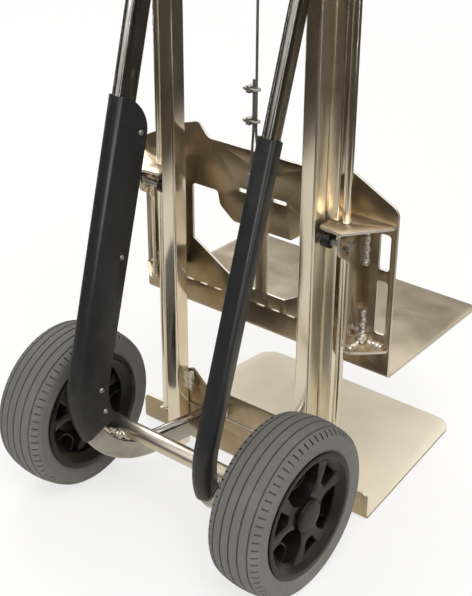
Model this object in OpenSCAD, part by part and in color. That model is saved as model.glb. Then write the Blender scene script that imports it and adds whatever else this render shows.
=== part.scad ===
// Lifting hand truck: an upright two-mast frame on two wheels, with a fixed toe plate on the floor
// and a load carriage that rolls up and down the masts on a hand-winched wire rope.
// X points to the right hand of the person pushing, Y forward to the toe plate, Z up; floor at Z = 0.

/* [Wheels] */
// Outer diameter of the tyre
wheel_d = 260; // [220:1:300]
// Width of the tyre
tyre_w = 86; // [70:1:96]
// Diameter of the rim's lip
rim_d = 188; // [160:1:196]
// Distance between the wheels' middle planes
track = 414; // [390:1:460]
// Diameter of the axle shaft
shaft_d = 20; // [16:0.5:24]
// Number of spokes in a rim
spokes = 3; // [3:1:6]
// Number of grooves round the tread
tread_grooves = 5; // [3:1:6]

/* [Masts] */
// Height of the masts over the floor
mast_h = 1294; // [1200:1:1400]
// Clear width between the masts
mast_gap = 228; // [200:1:250]
// Width of a mast tube
mast_w = 25.5; // [22:0.5:30]
// Depth of a mast tube
mast_d = 28.5; // [24:0.5:34]
// Wall of the mast tube
mast_wall = 2.5; // [1.5:0.1:4]
// Distance from the axle forward to the masts' back faces
mast_back = 140; // [130:0.5:150]
// Thickness of the roller track in front of a mast
rail_t = 12.5; // [9:0.5:14]
// How far the roller track stands out beside its mast
rail_reach = 19.5; // [17:0.5:23]
// How far the roller track laps in front of its mast
rail_lap = 12.5; // [8:0.5:20]
// Diameter of the guide rods
guide_d = 12; // [10:0.5:14]
// Gap between a roller track and its guide rod
guide_gap = 5; // [4:0.5:9]

/* [Struts] */
// Long size of the oval strut tube
strut_major = 37.5; // [34:0.5:42]
// Short size of the oval strut tube
strut_minor = 17.5; // [15:0.5:21]
// Wall of the strut tube
strut_wall = 2; // [1.5:0.1:3]
// Distance of each strut's bend from the middle of the truck
strut_x = 117.5; // [110:0.5:126]
// Angle by which the struts lean forward
strut_lean = 16.5; // [14.5:0.1:18.5]
// Angle by which the struts spread outwards to their tops
strut_splay = 1; // [0:0.1:2]
// Angle by which the lower runs turn inwards
strut_toe = 12.1; // [8:0.1:16]
// Distance of the middle of the lower runs below the axle
strut_drop = 45; // [40:0.5:50]
// Distance of the bend's corner behind the axle
strut_back = 107.5; // [100:0.5:115]

/* [Glide covers] */
// Wall of the moulded covers
cover_wall = 2.4; // [2:0.1:3]
// Space between a strut's flat sides and its cover
cover_space = 2.8; // [1:0.1:4]
// Reach of a cover's inner wall in front of the middle of its strut
cover_front = 38.5; // [32:0.5:42]
// Reach of a cover's outer wall in front of the middle of its strut
cover_lip = 8; // [6:0.5:14]
// Height of a cover's top along the strut
cover_top = 574; // [480:1:640]
// Radius of the rounded rear corners
cover_round = 12; // [8:0.5:13]
// Angle below level at which a cover ends on the bend
cover_end = 28; // [20:1:34]

/* [Toe plate] */
// Thickness of the bent sheets
sheet_t = 4; // [3:0.5:6]
// Width of the toe plate at its bend
toe_w = 454; // [400:1:500]
// Width of the toe plate at its front edge
toe_front_w = 398; // [340:1:440]
// Distance from the axle to the toe plate's front edge
toe_reach = 496; // [420:1:560]
// Height of the upstand outside the masts
upstand_h = 48; // [40:1:52]
// Height of the upstand between the masts
upstand_mid_h = 71; // [60:1:76]
// Height of the foot plate's top edge over the floor
foot_h = 117; // [105:1:125]
// Height of the foot plate's ears over the floor
ear_h = 141; // [130:1:160]
// Inner radius of the bends
bend_r = 5; // [3:0.5:8]

/* [Carriage] */
// Width of the carriage's back plate
car_w = 464; // [430:1:500]
// Height of the shelf's underside over the floor at rest
shelf_z = 244; // [200:1:260]
// Height of the back plate's middle top edge over the shelf's underside
car_h = 292; // [270:1:320]
// Height of the two peaks over the middle top edge
peak_h = 22; // [10:1:30]
// Depth of the shelf from the back plate's front face
shelf_d = 271; // [220:1:320]
// Diameter of the guide rollers
roller_d = 20; // [18:0.5:22]
// Width of the guide rollers
roller_w = 14; // [10:0.5:15]
// Height of the top gussets over the shelf's underside
gusset_z = 240; // [225:1:255]

/* [Winch] */
// Diameter of the wire rope
rope_d = 4; // [3:0.5:4]
// Diameter of the winch drum's core
drum_d = 50; // [44:1:56]
// Width between the drum's flanges
drum_w = 40; // [36:1:44]
// Height of the drum's axis over the floor
drum_z = 1000; // [980:1:1020]
// Teeth on the drum gear
gear_teeth = 42; // [36:3:45]
// Teeth on the pinion
pinion_teeth = 14; // [12:1:16]
// Module of the gear teeth
gear_module = 2.25; // [2:0.05:2.4]
// Length of the crank arm
crank_r = 150; // [120:1:170]
// Loops of rope on the drum
rope_loops = 4; // [2:1:4]
// Diameter of the head sheave at the rope's middle
sheave_d = 84; // [80:1:90]
// Diameter of the handle tubes
handle_d = 25; // [22:0.5:28]

/* [Hidden] */
$fn = 64;

// Finishes of the pieces
steel = [0.72, 0.70, 0.66];
dull_steel = [0.62, 0.61, 0.58];
black_plastic = [0.13, 0.14, 0.15];
grey_rubber = [0.52, 0.54, 0.54];
black_rubber = [0.10, 0.10, 0.10];

// Clearances: a running fit on a shaft, a gap between moving pieces and an overlap for cuts
run_fit = 0.05;
gap = 0.3;
cut = 1;
room = 2000;

// Fore and aft places, measured so that the origin lies under the middle of the whole truck
axle_y = (wheel_d / 2 - toe_reach) / 2;
axle_z = wheel_d / 2;
mast_y = axle_y + mast_back;
rail_y = mast_y + mast_d;
stand_y = rail_y + rail_t;
plate_gap = 5;
plate_y = stand_y + roller_d + plate_gap;
foot_clear = 6;

// Sideways places
mast_x = mast_gap / 2 + mast_w / 2;
mast_out = mast_gap / 2 + mast_w;
rail_out = mast_out + rail_reach;
guide_x = rail_out + guide_gap + guide_d / 2;
guide_back = 8;
guide_y = stand_y - guide_back;
side_gap = 4;
side_x = guide_x + guide_d / 2 + side_gap;

function unit(v) = v / norm(v);
function turned(v, a) = [v.x * cos(a) - v.y * sin(a), v.x * sin(a) + v.y * cos(a)];
function flat(p) = [p.x, p.y];

// Arc that rounds the corner b of the line a, b, c with the radius r
function corner(a, b, c, r, n) =
    let (u = unit(a - b), v = unit(c - b), half = acos(u * v) / 2)
    let (middle = b + unit(u + v) * r / sin(half), start = b + u * r / tan(half) - middle)
    let (turn = -sign(cross(u, v)) * (180 - 2 * half))
    [for (i = [0 : n]) middle + turned(start, turn * i / n)];

// Outline through corners given as [x, y, radius]
function rounded(p, n = 6) =
    let (k = len(p))
    [for (i = [0 : k - 1]) each
        p[i][2] > 0
            ? corner(flat(p[(i + k - 1) % k]), flat(p[i]), flat(p[(i + 1) % k]), p[i][2], n)
            : [flat(p[i])]];

// The same outline seen in a mirror, still in the same sense of turning
function mirrored(p) = [for (i = [len(p) - 1 : -1 : 0]) [-p[i].x, p[i].y, p[i][2]]];

// Right-hand pieces are drawn; left-hand ones are their mirror image
module on_side(side) {
    if (side > 0) children();
    else mirror([1, 0, 0]) children();
}

// Turns a piece drawn round Z so that its axis lies along X, or along Y
module along_x() {
    rotate([0, 90, 0]) children();
}

module along_y() {
    rotate([-90, 0, 0]) children();
}

// A flat sheet standing across the truck: outline in X and Z, back face at y, thickness t forward
module standing(y, t) {
    translate([0, y + t, 0]) rotate([90, 0, 0]) linear_extrude(t) children();
}

// A flat sheet facing sideways: outline in Y and Z, inner face at x, thickness t outwards
module facing(x, t) {
    translate([x, 0, 0]) rotate([90, 0, 90]) linear_extrude(t) children();
}

module at_wheel(side) {
    translate([side * track / 2, axle_y, axle_z]) on_side(side) along_x() children();
}

// Wheels. Drawn round Z with the outer face towards +Z.
rim_r = rim_d / 2;
tyre_r = wheel_d / 2;
seat_depth = 6;
seat_r = rim_r - seat_depth;
lip_t = 3;
lip_inset = 4;
lip_edge = 2;
barrel_t = 5;
tyre_half = tyre_w / 2;
rim_half = tyre_half - lip_inset;
groove_w = 2.6;
groove_d = 3.2;
tread_inset = 7;
tread_half = tyre_half - tread_inset;
crown = 5;
crown_mid = 1;
shoulder = 13;
bulge = 1;
hub_r = 24;
hub_lap = 8;
bush_r = 15;
bush_l = 22;
web_t = 8;
spoke_h = 35;
spoke_back = 24;
spoke_pitch = 360 / spokes;
spoke_turn = 10;
dish_w = 15;
dish_in = seat_r - dish_w;
dish_drop = 4;
dish_z = spoke_h - dish_drop;
dish_t = 4;
rib_h = 25;
rib_t = 2.6;
window_in = 52;
window_edge = 7;
window_out = seat_r - window_edge;
window_share = 0.15;
window_half = window_share * spoke_pitch;
window_taper = 0.5;
window_round = 0.95;
edge_r = 1;
arm_share = 0.267;
spoke_half = arm_share * spoke_pitch;
stem_half = 18;
stem_root = 17;
stem_out = 42;
stem_r = 24;
split_share = 0.133;
split_half = split_share * spoke_pitch;
split_in = 46;
split_tip = 7;
split_tip_r = 6;
split_r = 5;
cap_r = 25;
cap_t = 9;
cap_plug = 4;
cap_gap = 0.4;
cap_edge = 4;
cap_slope = 3;
cap_flat_r = 13;
hub_half = tyre_half - cap_t;

module tyre() {
    rotate_extrude($fn = 96) difference() {
        polygon([
            [seat_r, -rim_half], [rim_r, -rim_half], [rim_r + lip_t, bulge - tyre_half],
            [tyre_r - shoulder, -tyre_half], [tyre_r - crown, -tread_half],
            [tyre_r - crown_mid, -tread_half / 2], [tyre_r, 0], [tyre_r - crown_mid, tread_half / 2],
            [tyre_r - crown, tread_half], [tyre_r - shoulder, tyre_half],
            [rim_r + lip_t, tyre_half - bulge], [rim_r, rim_half], [seat_r, rim_half]
        ]);
        for (i = [0 : tread_grooves - 1])
            let (z = (i - (tread_grooves - 1) / 2) * 2 * tread_half / tread_grooves)
            translate([tyre_r - groove_d - crown * pow(abs(z) / tread_half, 2), z - groove_w / 2])
                square([groove_d + crown + cut, groove_w]);
    }
}

// Opening between two spokes, round at the hub and wider at the rim
function window(grow) =
    let (side = window_out * sin(window_half) + grow, low = side * window_taper)
    rounded([
        [window_in - grow, -low, low * window_round], [window_out, -side, edge_r],
        [window_out, side, edge_r], [window_in - grow, low, low * window_round]
    ], 5);

module spoke_windows(grow) {
    for (i = [0 : spokes - 1]) rotate((i + 0.5) * spoke_pitch) polygon(window(grow));
}

// Y-shaped spokes: a stem from the hub that opens into two arms at the rim
module spoke_faces() {
    out = seat_r - lip_edge;
    tip = [out * cos(spoke_half), out * sin(spoke_half)];
    mid = [out * cos(split_half), out * sin(split_half)];
    for (i = [0 : spokes - 1]) rotate(i * spoke_pitch) polygon(rounded([
        [hub_r - hub_lap, -stem_root, 0], [stem_out, -stem_half, stem_r],
        [tip.x, -tip.y, 0], [mid.x, -mid.y, 0], [mid.x, mid.y, 0], [tip.x, tip.y, 0],
        [stem_out, stem_half, stem_r], [hub_r - hub_lap, stem_root, 0]
    ], 5));
}

// Openings between the two arms of each spoke
module spoke_splits() {
    side = window_out * sin(split_half);
    for (i = [0 : spokes - 1]) rotate(i * spoke_pitch) polygon(rounded([
        [split_in, -split_tip, split_tip_r], [window_out, -side, split_r],
        [window_out, side, split_r], [split_in, split_tip, split_tip_r]
    ], 5));
}

module rim() {
    difference() {
        union() {
            rotate_extrude() {
                for (s = [-1, 1]) scale([1, s]) polygon([
                    [seat_r, -cut], [seat_r, rim_half], [rim_r, rim_half], [rim_r, rim_half + lip_t],
                    [seat_r - lip_edge, rim_half + lip_t], [dish_in, dish_z], [dish_in, dish_z - dish_t],
                    [seat_r - barrel_t, dish_z - dish_t], [seat_r - barrel_t, -cut]
                ]);
                translate([bush_r, -hub_half]) square([hub_r - bush_r, 2 * hub_half]);
            }
            difference() {
                union() {
                    translate([0, 0, -web_t / 2]) cylinder(r = seat_r - lip_edge, h = web_t);
                    translate([0, 0, -spoke_back]) linear_extrude(spoke_back + spoke_h) spoke_faces();
                }
                translate([0, 0, -tyre_half]) linear_extrude(tyre_w) {
                    spoke_windows(0);
                    spoke_splits();
                }
                // Seat of the hub cap
                translate([0, 0, hub_half]) cylinder(r = cap_r + cap_gap, h = cap_t);
            }
            // Raised ribs round the openings between the spokes
            translate([0, 0, -rib_h]) linear_extrude(2 * rib_h) difference() {
                spoke_windows(rib_t);
                spoke_windows(0);
            }
        }
        translate([0, 0, -tyre_half]) cylinder(r = bush_r, h = tyre_w);
    }
}

// Domed cap that clips into the hub's outer end
module hub_cap() {
    plug_r = bush_r - cap_gap;
    rotate_extrude() polygon([
        [0, hub_half], [plug_r - lip_t, hub_half], [plug_r - lip_t, hub_half - cap_plug],
        [plug_r, hub_half - cap_plug], [plug_r, hub_half], [cap_r, hub_half],
        [cap_r, hub_half + cap_t - cap_edge], [cap_r - cap_slope, hub_half + cap_t - edge_r],
        [cap_flat_r, hub_half + cap_t], [0, hub_half + cap_t]
    ]);
}

// Plain bushes at the two ends of the hub
module hub_bushes() {
    for (z = [-hub_half, hub_half - cap_plug - bush_l]) translate([0, 0, z]) difference() {
        cylinder(r = bush_r, h = bush_l);
        translate([0, 0, -cut]) cylinder(d = shaft_d + 2 * run_fit, h = bush_l + 2 * cut);
    }
}

module tyre_left() { color(grey_rubber) at_wheel(-1) tyre(); }
module tyre_right() { color(grey_rubber) at_wheel(1) tyre(); }
module rim_left() { color(black_plastic) at_wheel(-1) rotate(spoke_turn) rim(); }
module rim_right() { color(black_plastic) at_wheel(1) rotate(spoke_turn) rim(); }
module hub_cap_left() { color(black_plastic) at_wheel(-1) hub_cap(); }
module hub_cap_right() { color(black_plastic) at_wheel(1) hub_cap(); }
module hub_bushes_left() { color(dull_steel) at_wheel(-1) hub_bushes(); }
module hub_bushes_right() { color(dull_steel) at_wheel(1) hub_bushes(); }

// Axle. The shaft runs through the tube and carries a wheel at each end.
tube_wall = 3.4;
tube_d = shaft_d + 2 * tube_wall;
collar_t = 8;
collar_wall = 3.5;
collar_d = tube_d + 2 * collar_wall;
collar_in = 2;
shaft_end_gap = 8;
shaft_half = track / 2 + hub_half - shaft_end_gap;
tube_half = track / 2 - hub_half - gap;

module axle_shaft() {
    color(dull_steel) translate([-shaft_half, axle_y, axle_z]) along_x()
        cylinder(d = shaft_d, h = 2 * shaft_half);
}

module axle_tube() {
    color(steel) translate([-tube_half, axle_y, axle_z]) along_x() difference() {
        cylinder(d = tube_d, h = 2 * tube_half);
        translate([0, 0, -cut]) cylinder(d = shaft_d, h = 2 * tube_half + 2 * cut);
    }
}

// Rings round the tube just inside the wheels
module axle_collars() {
    color(steel) for (s = [-1, 1]) on_side(s)
        translate([tube_half - collar_t - collar_in, axle_y, axle_z]) along_x() difference() {
            cylinder(d = collar_d, h = collar_t);
            translate([0, 0, -cut]) cylinder(d = tube_d, h = collar_t + 2 * cut);
        }
}

// Masts: a box tube, a flat track in front of it for the rollers and a round guide rod beside it
mast_r = 4;
mast_in_r = 1.5;
rail_r = 2;
module box_section(w, d, r) {
    polygon(rounded([[-w / 2, 0, r], [w / 2, 0, r], [w / 2, d, r], [-w / 2, d, r]]));
}

module mast() {
    translate([mast_x, mast_y, foot_clear]) linear_extrude(mast_h - foot_clear) difference() {
        box_section(mast_w, mast_d, mast_r);
        translate([0, mast_wall])
            box_section(mast_w - 2 * mast_wall, mast_d - 2 * mast_wall, mast_in_r);
    }
}

module rail() {
    width = rail_lap + rail_reach;
    translate([mast_out - rail_lap, rail_y, foot_clear]) linear_extrude(mast_h - foot_clear)
        polygon(rounded([[0, 0, 0], [width, 0, rail_r], [width, rail_t, rail_r], [0, rail_t, rail_r]]));
}

module guide_rod() {
    translate([guide_x, guide_y, upstand_h]) cylinder(d = guide_d, h = mast_h - upstand_h);
}

module mast_left() { color(steel) on_side(-1) mast(); }
module mast_right() { color(steel) on_side(1) mast(); }
module rail_left() { color(steel) on_side(-1) rail(); }
module rail_right() { color(steel) on_side(1) rail(); }
module guide_rod_left() { color(steel) on_side(-1) guide_rod(); }
module guide_rod_right() { color(steel) on_side(1) guide_rod(); }

// Struts. Each lies in a plane of its own: a lower run along local X, a bend, and a leg that leans
// back up to the mast. The leg climbs at leg_a from the run inside that plane, to a thousandth of a
// degree.
rise = sqrt(1 + pow(tan(strut_lean), 2) + pow(tan(strut_splay), 2));
leg_rise = acos((tan(strut_lean) * cos(strut_toe) - tan(strut_splay) * sin(strut_toe)) / rise);
angle_step = 0.001;
leg_a = round(leg_rise / angle_step) * angle_step;
plane_tilt = atan(tan(strut_splay) * cos(strut_toe) + tan(strut_lean) * sin(strut_toe));
strut_run_z = axle_z - strut_drop;

// The bend's radius is the one at which the axle tube lies inside the bend, against the strut. The
// axle passes the strut's plane at axle_in, measured from the corner where leg and run would meet.
weld_bite = 0.4;
cross_x = (strut_drop * tan(plane_tilt) - strut_back * sin(strut_toe)) / cos(strut_toe);
axle_in = [strut_back * cos(strut_toe) - cross_x * sin(strut_toe), strut_drop / cos(plane_tilt)];
seat_gap = (strut_major + tube_d) / 2 - weld_bite;
slope = 1 / tan(leg_a / 2);
mean = slope * axle_in.x + axle_in.y - seat_gap;
strut_bend_r = (mean + sqrt(pow(mean, 2) - pow(slope, 2) * (axle_in * axle_in - pow(seat_gap, 2))))
    / pow(slope, 2);
tangent = strut_bend_r * slope;
bend_turn = 180 - leg_a;
run_l = (stand_y - axle_y + strut_back) / cos(strut_toe) + strut_minor;
leg_l = (mast_back + strut_back) / sin(strut_lean) + strut_major * 2;

// Direction in which the axle lies from the bend's middle, seen from the side
bend_y = axle_y - strut_back + tangent * cos(strut_toe)
    + strut_bend_r * sin(plane_tilt) * sin(strut_toe);
bend_z = strut_run_z + strut_bend_r * cos(plane_tilt);
seat_a = atan2(axle_z - bend_z, axle_y - bend_y);

module strut_frame() {
    translate([strut_x, axle_y - strut_back, strut_run_z]) rotate([0, 0, 90 + strut_toe])
        rotate([plane_tilt, 0, 0]) children();
}

// Places a piece drawn along Z on the leg, at a height measured along it from the bend's corner
module on_leg(height) {
    translate([cos(leg_a) * height, 0, sin(leg_a) * height]) rotate([0, 90 - leg_a, 0]) children();
}

// Sweeps a section down the leg and round the bend; the section's X points away from the bend's middle
module leg_and_bend(length, turn) {
    translate([tangent, 0, strut_bend_r]) rotate([90, 0, 0]) rotate([0, 0, 90 + leg_a]) {
        translate([strut_bend_r, 0, 0]) rotate([90, 0, 0]) linear_extrude(length) children();
        rotate_extrude(angle = turn) translate([strut_bend_r, 0]) children();
    }
}

// Section of the oval tube, long across the bend
oval_share = 0.49;
module oval(major, minor) {
    r = minor * oval_share;
    polygon(rounded([
        [-major / 2, -minor / 2, r], [major / 2, -minor / 2, r], [major / 2, minor / 2, r],
        [-major / 2, minor / 2, r]
    ], 5));
}

module oval_ring(grow) {
    inner = 2 * strut_wall + 2 * grow;
    difference() {
        oval(strut_major + 2 * grow, strut_minor + 2 * grow);
        oval(strut_major - inner, strut_minor - inner);
    }
}

// The lower run is a length of tube welded on the bend, which it laps by a hair's breadth
lap = 1;
lap_grow = 0.05;
module strut() {
    difference() {
        strut_frame() {
            leg_and_bend(leg_l - tangent, bend_turn) oval_ring(0);
            translate([tangent - lap, 0, 0]) rotate([0, 90, 0]) linear_extrude(run_l - tangent + lap)
                oval_ring(lap_grow);
        }
        translate([-room / 2, mast_y, mast_h / 2]) cube(room);
        translate([-room / 2, stand_y, -room / 2]) cube(room);
        // Flat inside the bend on which the axle tube is welded
        translate([strut_x - strut_major, axle_y, axle_z]) rotate([seat_a, 0, 0])
            translate([0, -tube_d / 2, -tube_d / 2]) cube([2 * strut_major, tube_d, tube_d]);
    }
}

module strut_left() { color(steel) on_side(-1) strut(); }
module strut_right() { color(steel) on_side(1) strut(); }

// Glide covers: a moulded channel over the back of each strut and round its bend, with a wide inner
// wall, a narrow outer wall and ribs inside that seat on the tube's flat sides
cover_play = 0.25;
cover_rear = strut_major / 2 + cover_play + cover_wall;
cover_half = strut_minor / 2 + cover_space + cover_wall;
cover_turn = 90 + cover_end - leg_a;
nose_r = 50;
facet_l = 36;
facet_d = 1.6;
seat_rib_half = 6;
seat_rib_t = 3;
seat_rib_top = 90;
seat_rib_low = 30;
seat_ribs = [cover_top - seat_rib_top, (cover_top + tangent) / 2, tangent + seat_rib_low];

// Section across a cover, with X to the rear of the strut's middle and Y inwards
module cover_profile(inset) {
    rear = cover_rear - inset;
    half = cover_half - inset;
    front = cover_front + (inset > 0 ? cut : 0);
    polygon(rounded([
        [-front, -half, 0], [rear, -half, cover_round - inset], [rear, half, cover_round - inset],
        [-front, half, 0]
    ], 8));
}

module cover_section() {
    difference() {
        cover_profile(0);
        cover_profile(cover_wall);
        translate([-cover_front - cut, -cover_half - cut])
            square([cover_front - cover_lip + cut, cover_half + cut]);
    }
}

module strut_cover() {
    strut_frame() difference() {
        union() {
            leg_and_bend(cover_top - tangent, cover_turn) mirror([0, 1]) cover_section();
            for (h = seat_ribs, s = [-1, 1]) on_leg(h) scale([1, s, 1])
                translate([-seat_rib_half, strut_minor / 2, 0])
                    cube([2 * seat_rib_half, cover_space + cover_wall / 2, seat_rib_t]);
        }
        // Flat facet that thins the rear wall towards the top
        on_leg(cover_top) translate([facet_d - cover_rear, 0, 0]) rotate([0, atan(facet_d / facet_l), 0])
            translate([-cover_rear, -cover_half - cut, -2 * facet_l])
                cube([cover_rear, 2 * cover_half + 2 * cut, 3 * facet_l]);
        // Rounded front corner at the top
        on_leg(cover_top - nose_r) translate([cover_front - nose_r, 0, 0]) rotate([90, 0, 0])
            linear_extrude(4 * cover_half, center = true) difference() {
                square(nose_r + cut);
                circle(nose_r);
            }
    }
}

module strut_cover_left() { color(black_plastic) on_side(-1) strut_cover(); }
module strut_cover_right() { color(black_plastic) on_side(1) strut_cover(); }

// Pan-head screws in the covers' inner walls: three along the leg and one round the bend
screw_head_r = 4;
screw_top_r = 2.8;
screw_head_h = 2;
screw_front = 27.5;
screw_down = [47, 228];
screw_under = 12;
screw_at = concat(cover_top * [1, 1] - screw_down, [tangent - screw_under]);
screw_turn = 15;
bend_screw = (strut_bend_r - screw_front) * [cos(screw_turn), sin(screw_turn)];
module screw_head() {
    along_y() cylinder(r1 = screw_head_r, r2 = screw_top_r, h = screw_head_h);
}

module cover_screws() {
    color(dull_steel) for (s = [-1, 1]) on_side(s) strut_frame() {
        for (h = screw_at) on_leg(h) translate([screw_front, cover_half, 0]) screw_head();
        translate([tangent - bend_screw.x, cover_half, strut_bend_r - bend_screw.y]) screw_head();
    }
}

// Toe plate: a sheet on the floor with rounded front corners, bent up behind into a low upstand
bend_in = sheet_t + bend_r;
front_r = 34;
stand_end_r = 10;
stand_step_r = 3;
mast_inset = 2;
ear_x = mast_out - mast_inset;
tab_side = 3;
rod_tab = guide_d + 2 * tab_side;
tab_back = guide_d / 2 + 1;

// Quarter bend of a sheet, w wide, with its outer faces at y behind and z below
module sheet_bend(w, y, z) {
    translate([-w / 2, y + bend_in, z + bend_in]) rotate([90, 0, 90]) linear_extrude(w) difference() {
        intersection() {
            circle(bend_in);
            translate([-bend_in, -bend_in]) square(bend_in);
        }
        circle(bend_r);
    }
}

module toe_plate() {
    front_y = axle_y + toe_reach;
    color(steel) {
        linear_extrude(sheet_t) polygon(rounded([
            [-toe_w / 2, stand_y + bend_in, 0], [toe_w / 2, stand_y + bend_in, 0],
            [toe_front_w / 2, front_y, front_r], [-toe_front_w / 2, front_y, front_r]
        ]));
        sheet_bend(toe_w, stand_y, 0);
        standing(stand_y, sheet_t) polygon(rounded([
            [-toe_w / 2, bend_in, 0], [toe_w / 2, bend_in, 0], [toe_w / 2, upstand_h, stand_end_r],
            [ear_x, upstand_h, stand_step_r], [ear_x, upstand_mid_h, 0], [-ear_x, upstand_mid_h, 0],
            [-ear_x, upstand_h, stand_step_r], [-toe_w / 2, upstand_h, stand_end_r]
        ]));
        // Tabs turned back from the upstand's top edge to carry the guide rods
        for (s = [-1, 1]) on_side(s)
            translate([guide_x - rod_tab / 2, guide_y - tab_back, upstand_h - sheet_t])
                cube([rod_tab, guide_back + tab_back + cut, sheet_t]);
    }
}

// Plate welded on the upstand between the masts, with an ear beside each mast
ear_in = mast_gap / 2 - 22;
ear_in_r = 8;
ear_peak_x = mast_gap / 2 + 4;
ear_peak_r = 6;
ear_drop = 10;
ear_side_r = 5;
module foot_plate() {
    half = [
        [ear_in, foot_h, ear_in_r], [ear_peak_x, ear_h, ear_peak_r], [ear_x, ear_h - ear_drop, ear_side_r],
        [ear_x, upstand_mid_h, 0]
    ];
    color(steel) standing(stand_y, sheet_t) polygon(rounded(concat(mirrored(half), half)));
}

// Carriage: a laser-cut back plate with two windows, bent forward at the bottom into a shelf
car_half = car_w / 2;
car_top = shelf_z + car_h;
peak_z = car_top + peak_h;
peak_x = mast_gap / 2 + 24;
rise_in = 34;
rise_r = 16;
peak_in = 16;
peak_r = 7;
slope_out = 22;
slope_drop = 12;
slope_r = 30;
shoulder_drop = 26;
shoulder_r = 18;
shelf_taper = 4;
shelf_r = 12;

// Right half of the back plate's outline, from the middle of its top edge to the shelf
plate_half = [
    [peak_x - rise_in, car_top, rise_r], [peak_x - peak_in, peak_z, peak_r],
    [peak_x + slope_out, peak_z - slope_drop, slope_r], [car_half, car_top - shoulder_drop, shoulder_r],
    [car_half, shelf_z + bend_in, 0]
];

// Window beside the middle post: a sloping sill, and a head that steps down towards the post
win_in = 10.5;
win_sill = 44.6;
win_step = 54;
win_neck = 80;
win_head = 85;
win_out = 135;
win_low = shelf_z + 67;
win_side = shelf_z + 120;
win_step_z = shelf_z + 170;
win_neck_z = shelf_z + 190;
win_rise = 212;
win_top = shelf_z + win_rise;
win_post_r = 3;
win_side_r = 4;
win_r = 6;
win_step_r = 10;
win_neck_r = 12;
module window_right() {
    polygon(rounded([
        [win_in, win_low, win_post_r], [win_sill, win_low, win_r], [win_out, win_side, win_side_r],
        [win_out, win_top, win_r], [win_head, win_top, win_r], [win_neck, win_neck_z, win_neck_r],
        [win_step, win_step_z, win_step_r], [win_in, win_step_z, win_post_r]
    ]));
}

// Slots: tall ones at the edges for straps, short round-ended ones for bolts, a row over the shelf
edge_slots = [[70, 155], [172, 227]];
edge_slot_x = 205;
edge_slot_w = 18;
edge_slot_r = 5;
anchor_rise = 225;
anchor_z = shelf_z + anchor_rise;
anchor_x = [22, 41.5];
anchor_r = 3;
stitch_z = shelf_z + 43;
stitch_w = 15;
stitch_h = 3;
stitch_r = 1.4;
stitch_step = 28.5;
stitch_half = 5;
module slot(x, z, w, h, r) {
    polygon(rounded([[x, z, r], [x + w, z, r], [x + w, z + h, r], [x, z + h, r]]));
}

module anchor_slot() {
    for (x = anchor_x) translate([x, anchor_z]) circle(anchor_r);
    translate([anchor_x[0], anchor_z - anchor_r]) square([anchor_x[1] - anchor_x[0], 2 * anchor_r]);
}

module carriage_plate() {
    front_y = plate_y + sheet_t + shelf_d;
    color(steel) {
        standing(plate_y, sheet_t) difference() {
            polygon(rounded(concat(mirrored(plate_half), plate_half)));
            for (s = [-1, 1]) scale([s, 1]) {
                window_right();
                anchor_slot();
                for (z = edge_slots)
                    slot(edge_slot_x, shelf_z + z[0], edge_slot_w, z[1] - z[0], edge_slot_r);
            }
            for (i = [-stitch_half : stitch_half])
                slot(i * stitch_step - stitch_w / 2, stitch_z, stitch_w, stitch_h, stitch_r);
            translate([0, pin_z]) circle(d = pin_d);
        }
        sheet_bend(car_w, plate_y, shelf_z);
        translate([0, 0, shelf_z]) linear_extrude(sheet_t) polygon(rounded([
            [-car_half, plate_y + bend_in, 0], [car_half, plate_y + bend_in, 0],
            [car_half - shelf_taper, front_y, shelf_r], [shelf_taper - car_half, front_y, shelf_r]
        ]));
    }
}

// Brackets that reach back beside the masts: a side plate between a top and a bottom gusset
gusset_h = shelf_z + gusset_z;
low_gusset_h = shelf_z + 46;
upper_y = rail_y - roller_d / 2 - gap;
lower_y = stand_y + roller_d / 2 + gap;
upper_z = gusset_h - 23;
lower_z = low_gusset_h + 26;
side_back = plate_y - 41;
wing_back = plate_y - 68;
wing_low = upper_z - 8;
waist_z = upper_z - 25;
wing_r = 3;
wing_low_r = 14;
waist_r = 12;
bolt_d = 8;
module side_plate() {
    facing(side_x, sheet_t) difference() {
        polygon(rounded([
            [plate_y, low_gusset_h + sheet_t, 0], [plate_y, gusset_h, 0],
            [wing_back, gusset_h, wing_r], [wing_back, wing_low, wing_low_r],
            [side_back, waist_z, waist_r], [side_back, low_gusset_h + sheet_t, wing_r]
        ]));
        for (p = [[upper_y, upper_z], [lower_y, lower_z]]) translate(p) circle(d = bolt_d);
    }
}

// Gussets end just inside the back plate's edge; the top one is cut out round the track and the rod
gusset_in = mast_out + 7;
gusset_out = car_half - 2;
gusset_lip = 6;
gusset_r = 4;
gusset_foot = 12;
notch_in = rail_out + 1.5;
notch_back = rail_y - 2;
notch_r = 1;
rod_clear = 1;
module top_gusset() {
    translate([0, 0, gusset_h]) linear_extrude(sheet_t) difference() {
        polygon(rounded([
            [notch_in, plate_y, 0], [notch_in, notch_back, notch_r], [gusset_in, notch_back, notch_r],
            [gusset_in, wing_back + gusset_r, gusset_r], [side_x + sheet_t, wing_back, gusset_r],
            [gusset_out, plate_y - gusset_lip, wing_r], [gusset_out, plate_y, 0]
        ]));
        translate([guide_x, guide_y]) circle(d = guide_d + 2 * rod_clear);
    }
}

module bottom_gusset() {
    translate([0, 0, low_gusset_h]) linear_extrude(sheet_t) polygon(rounded([
        [side_x, plate_y, 0], [side_x, side_back, wing_r], [side_x + gusset_foot, side_back, gusset_lip],
        [gusset_out, plate_y - gusset_lip, wing_r], [gusset_out, plate_y, 0]
    ]));
}

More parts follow.
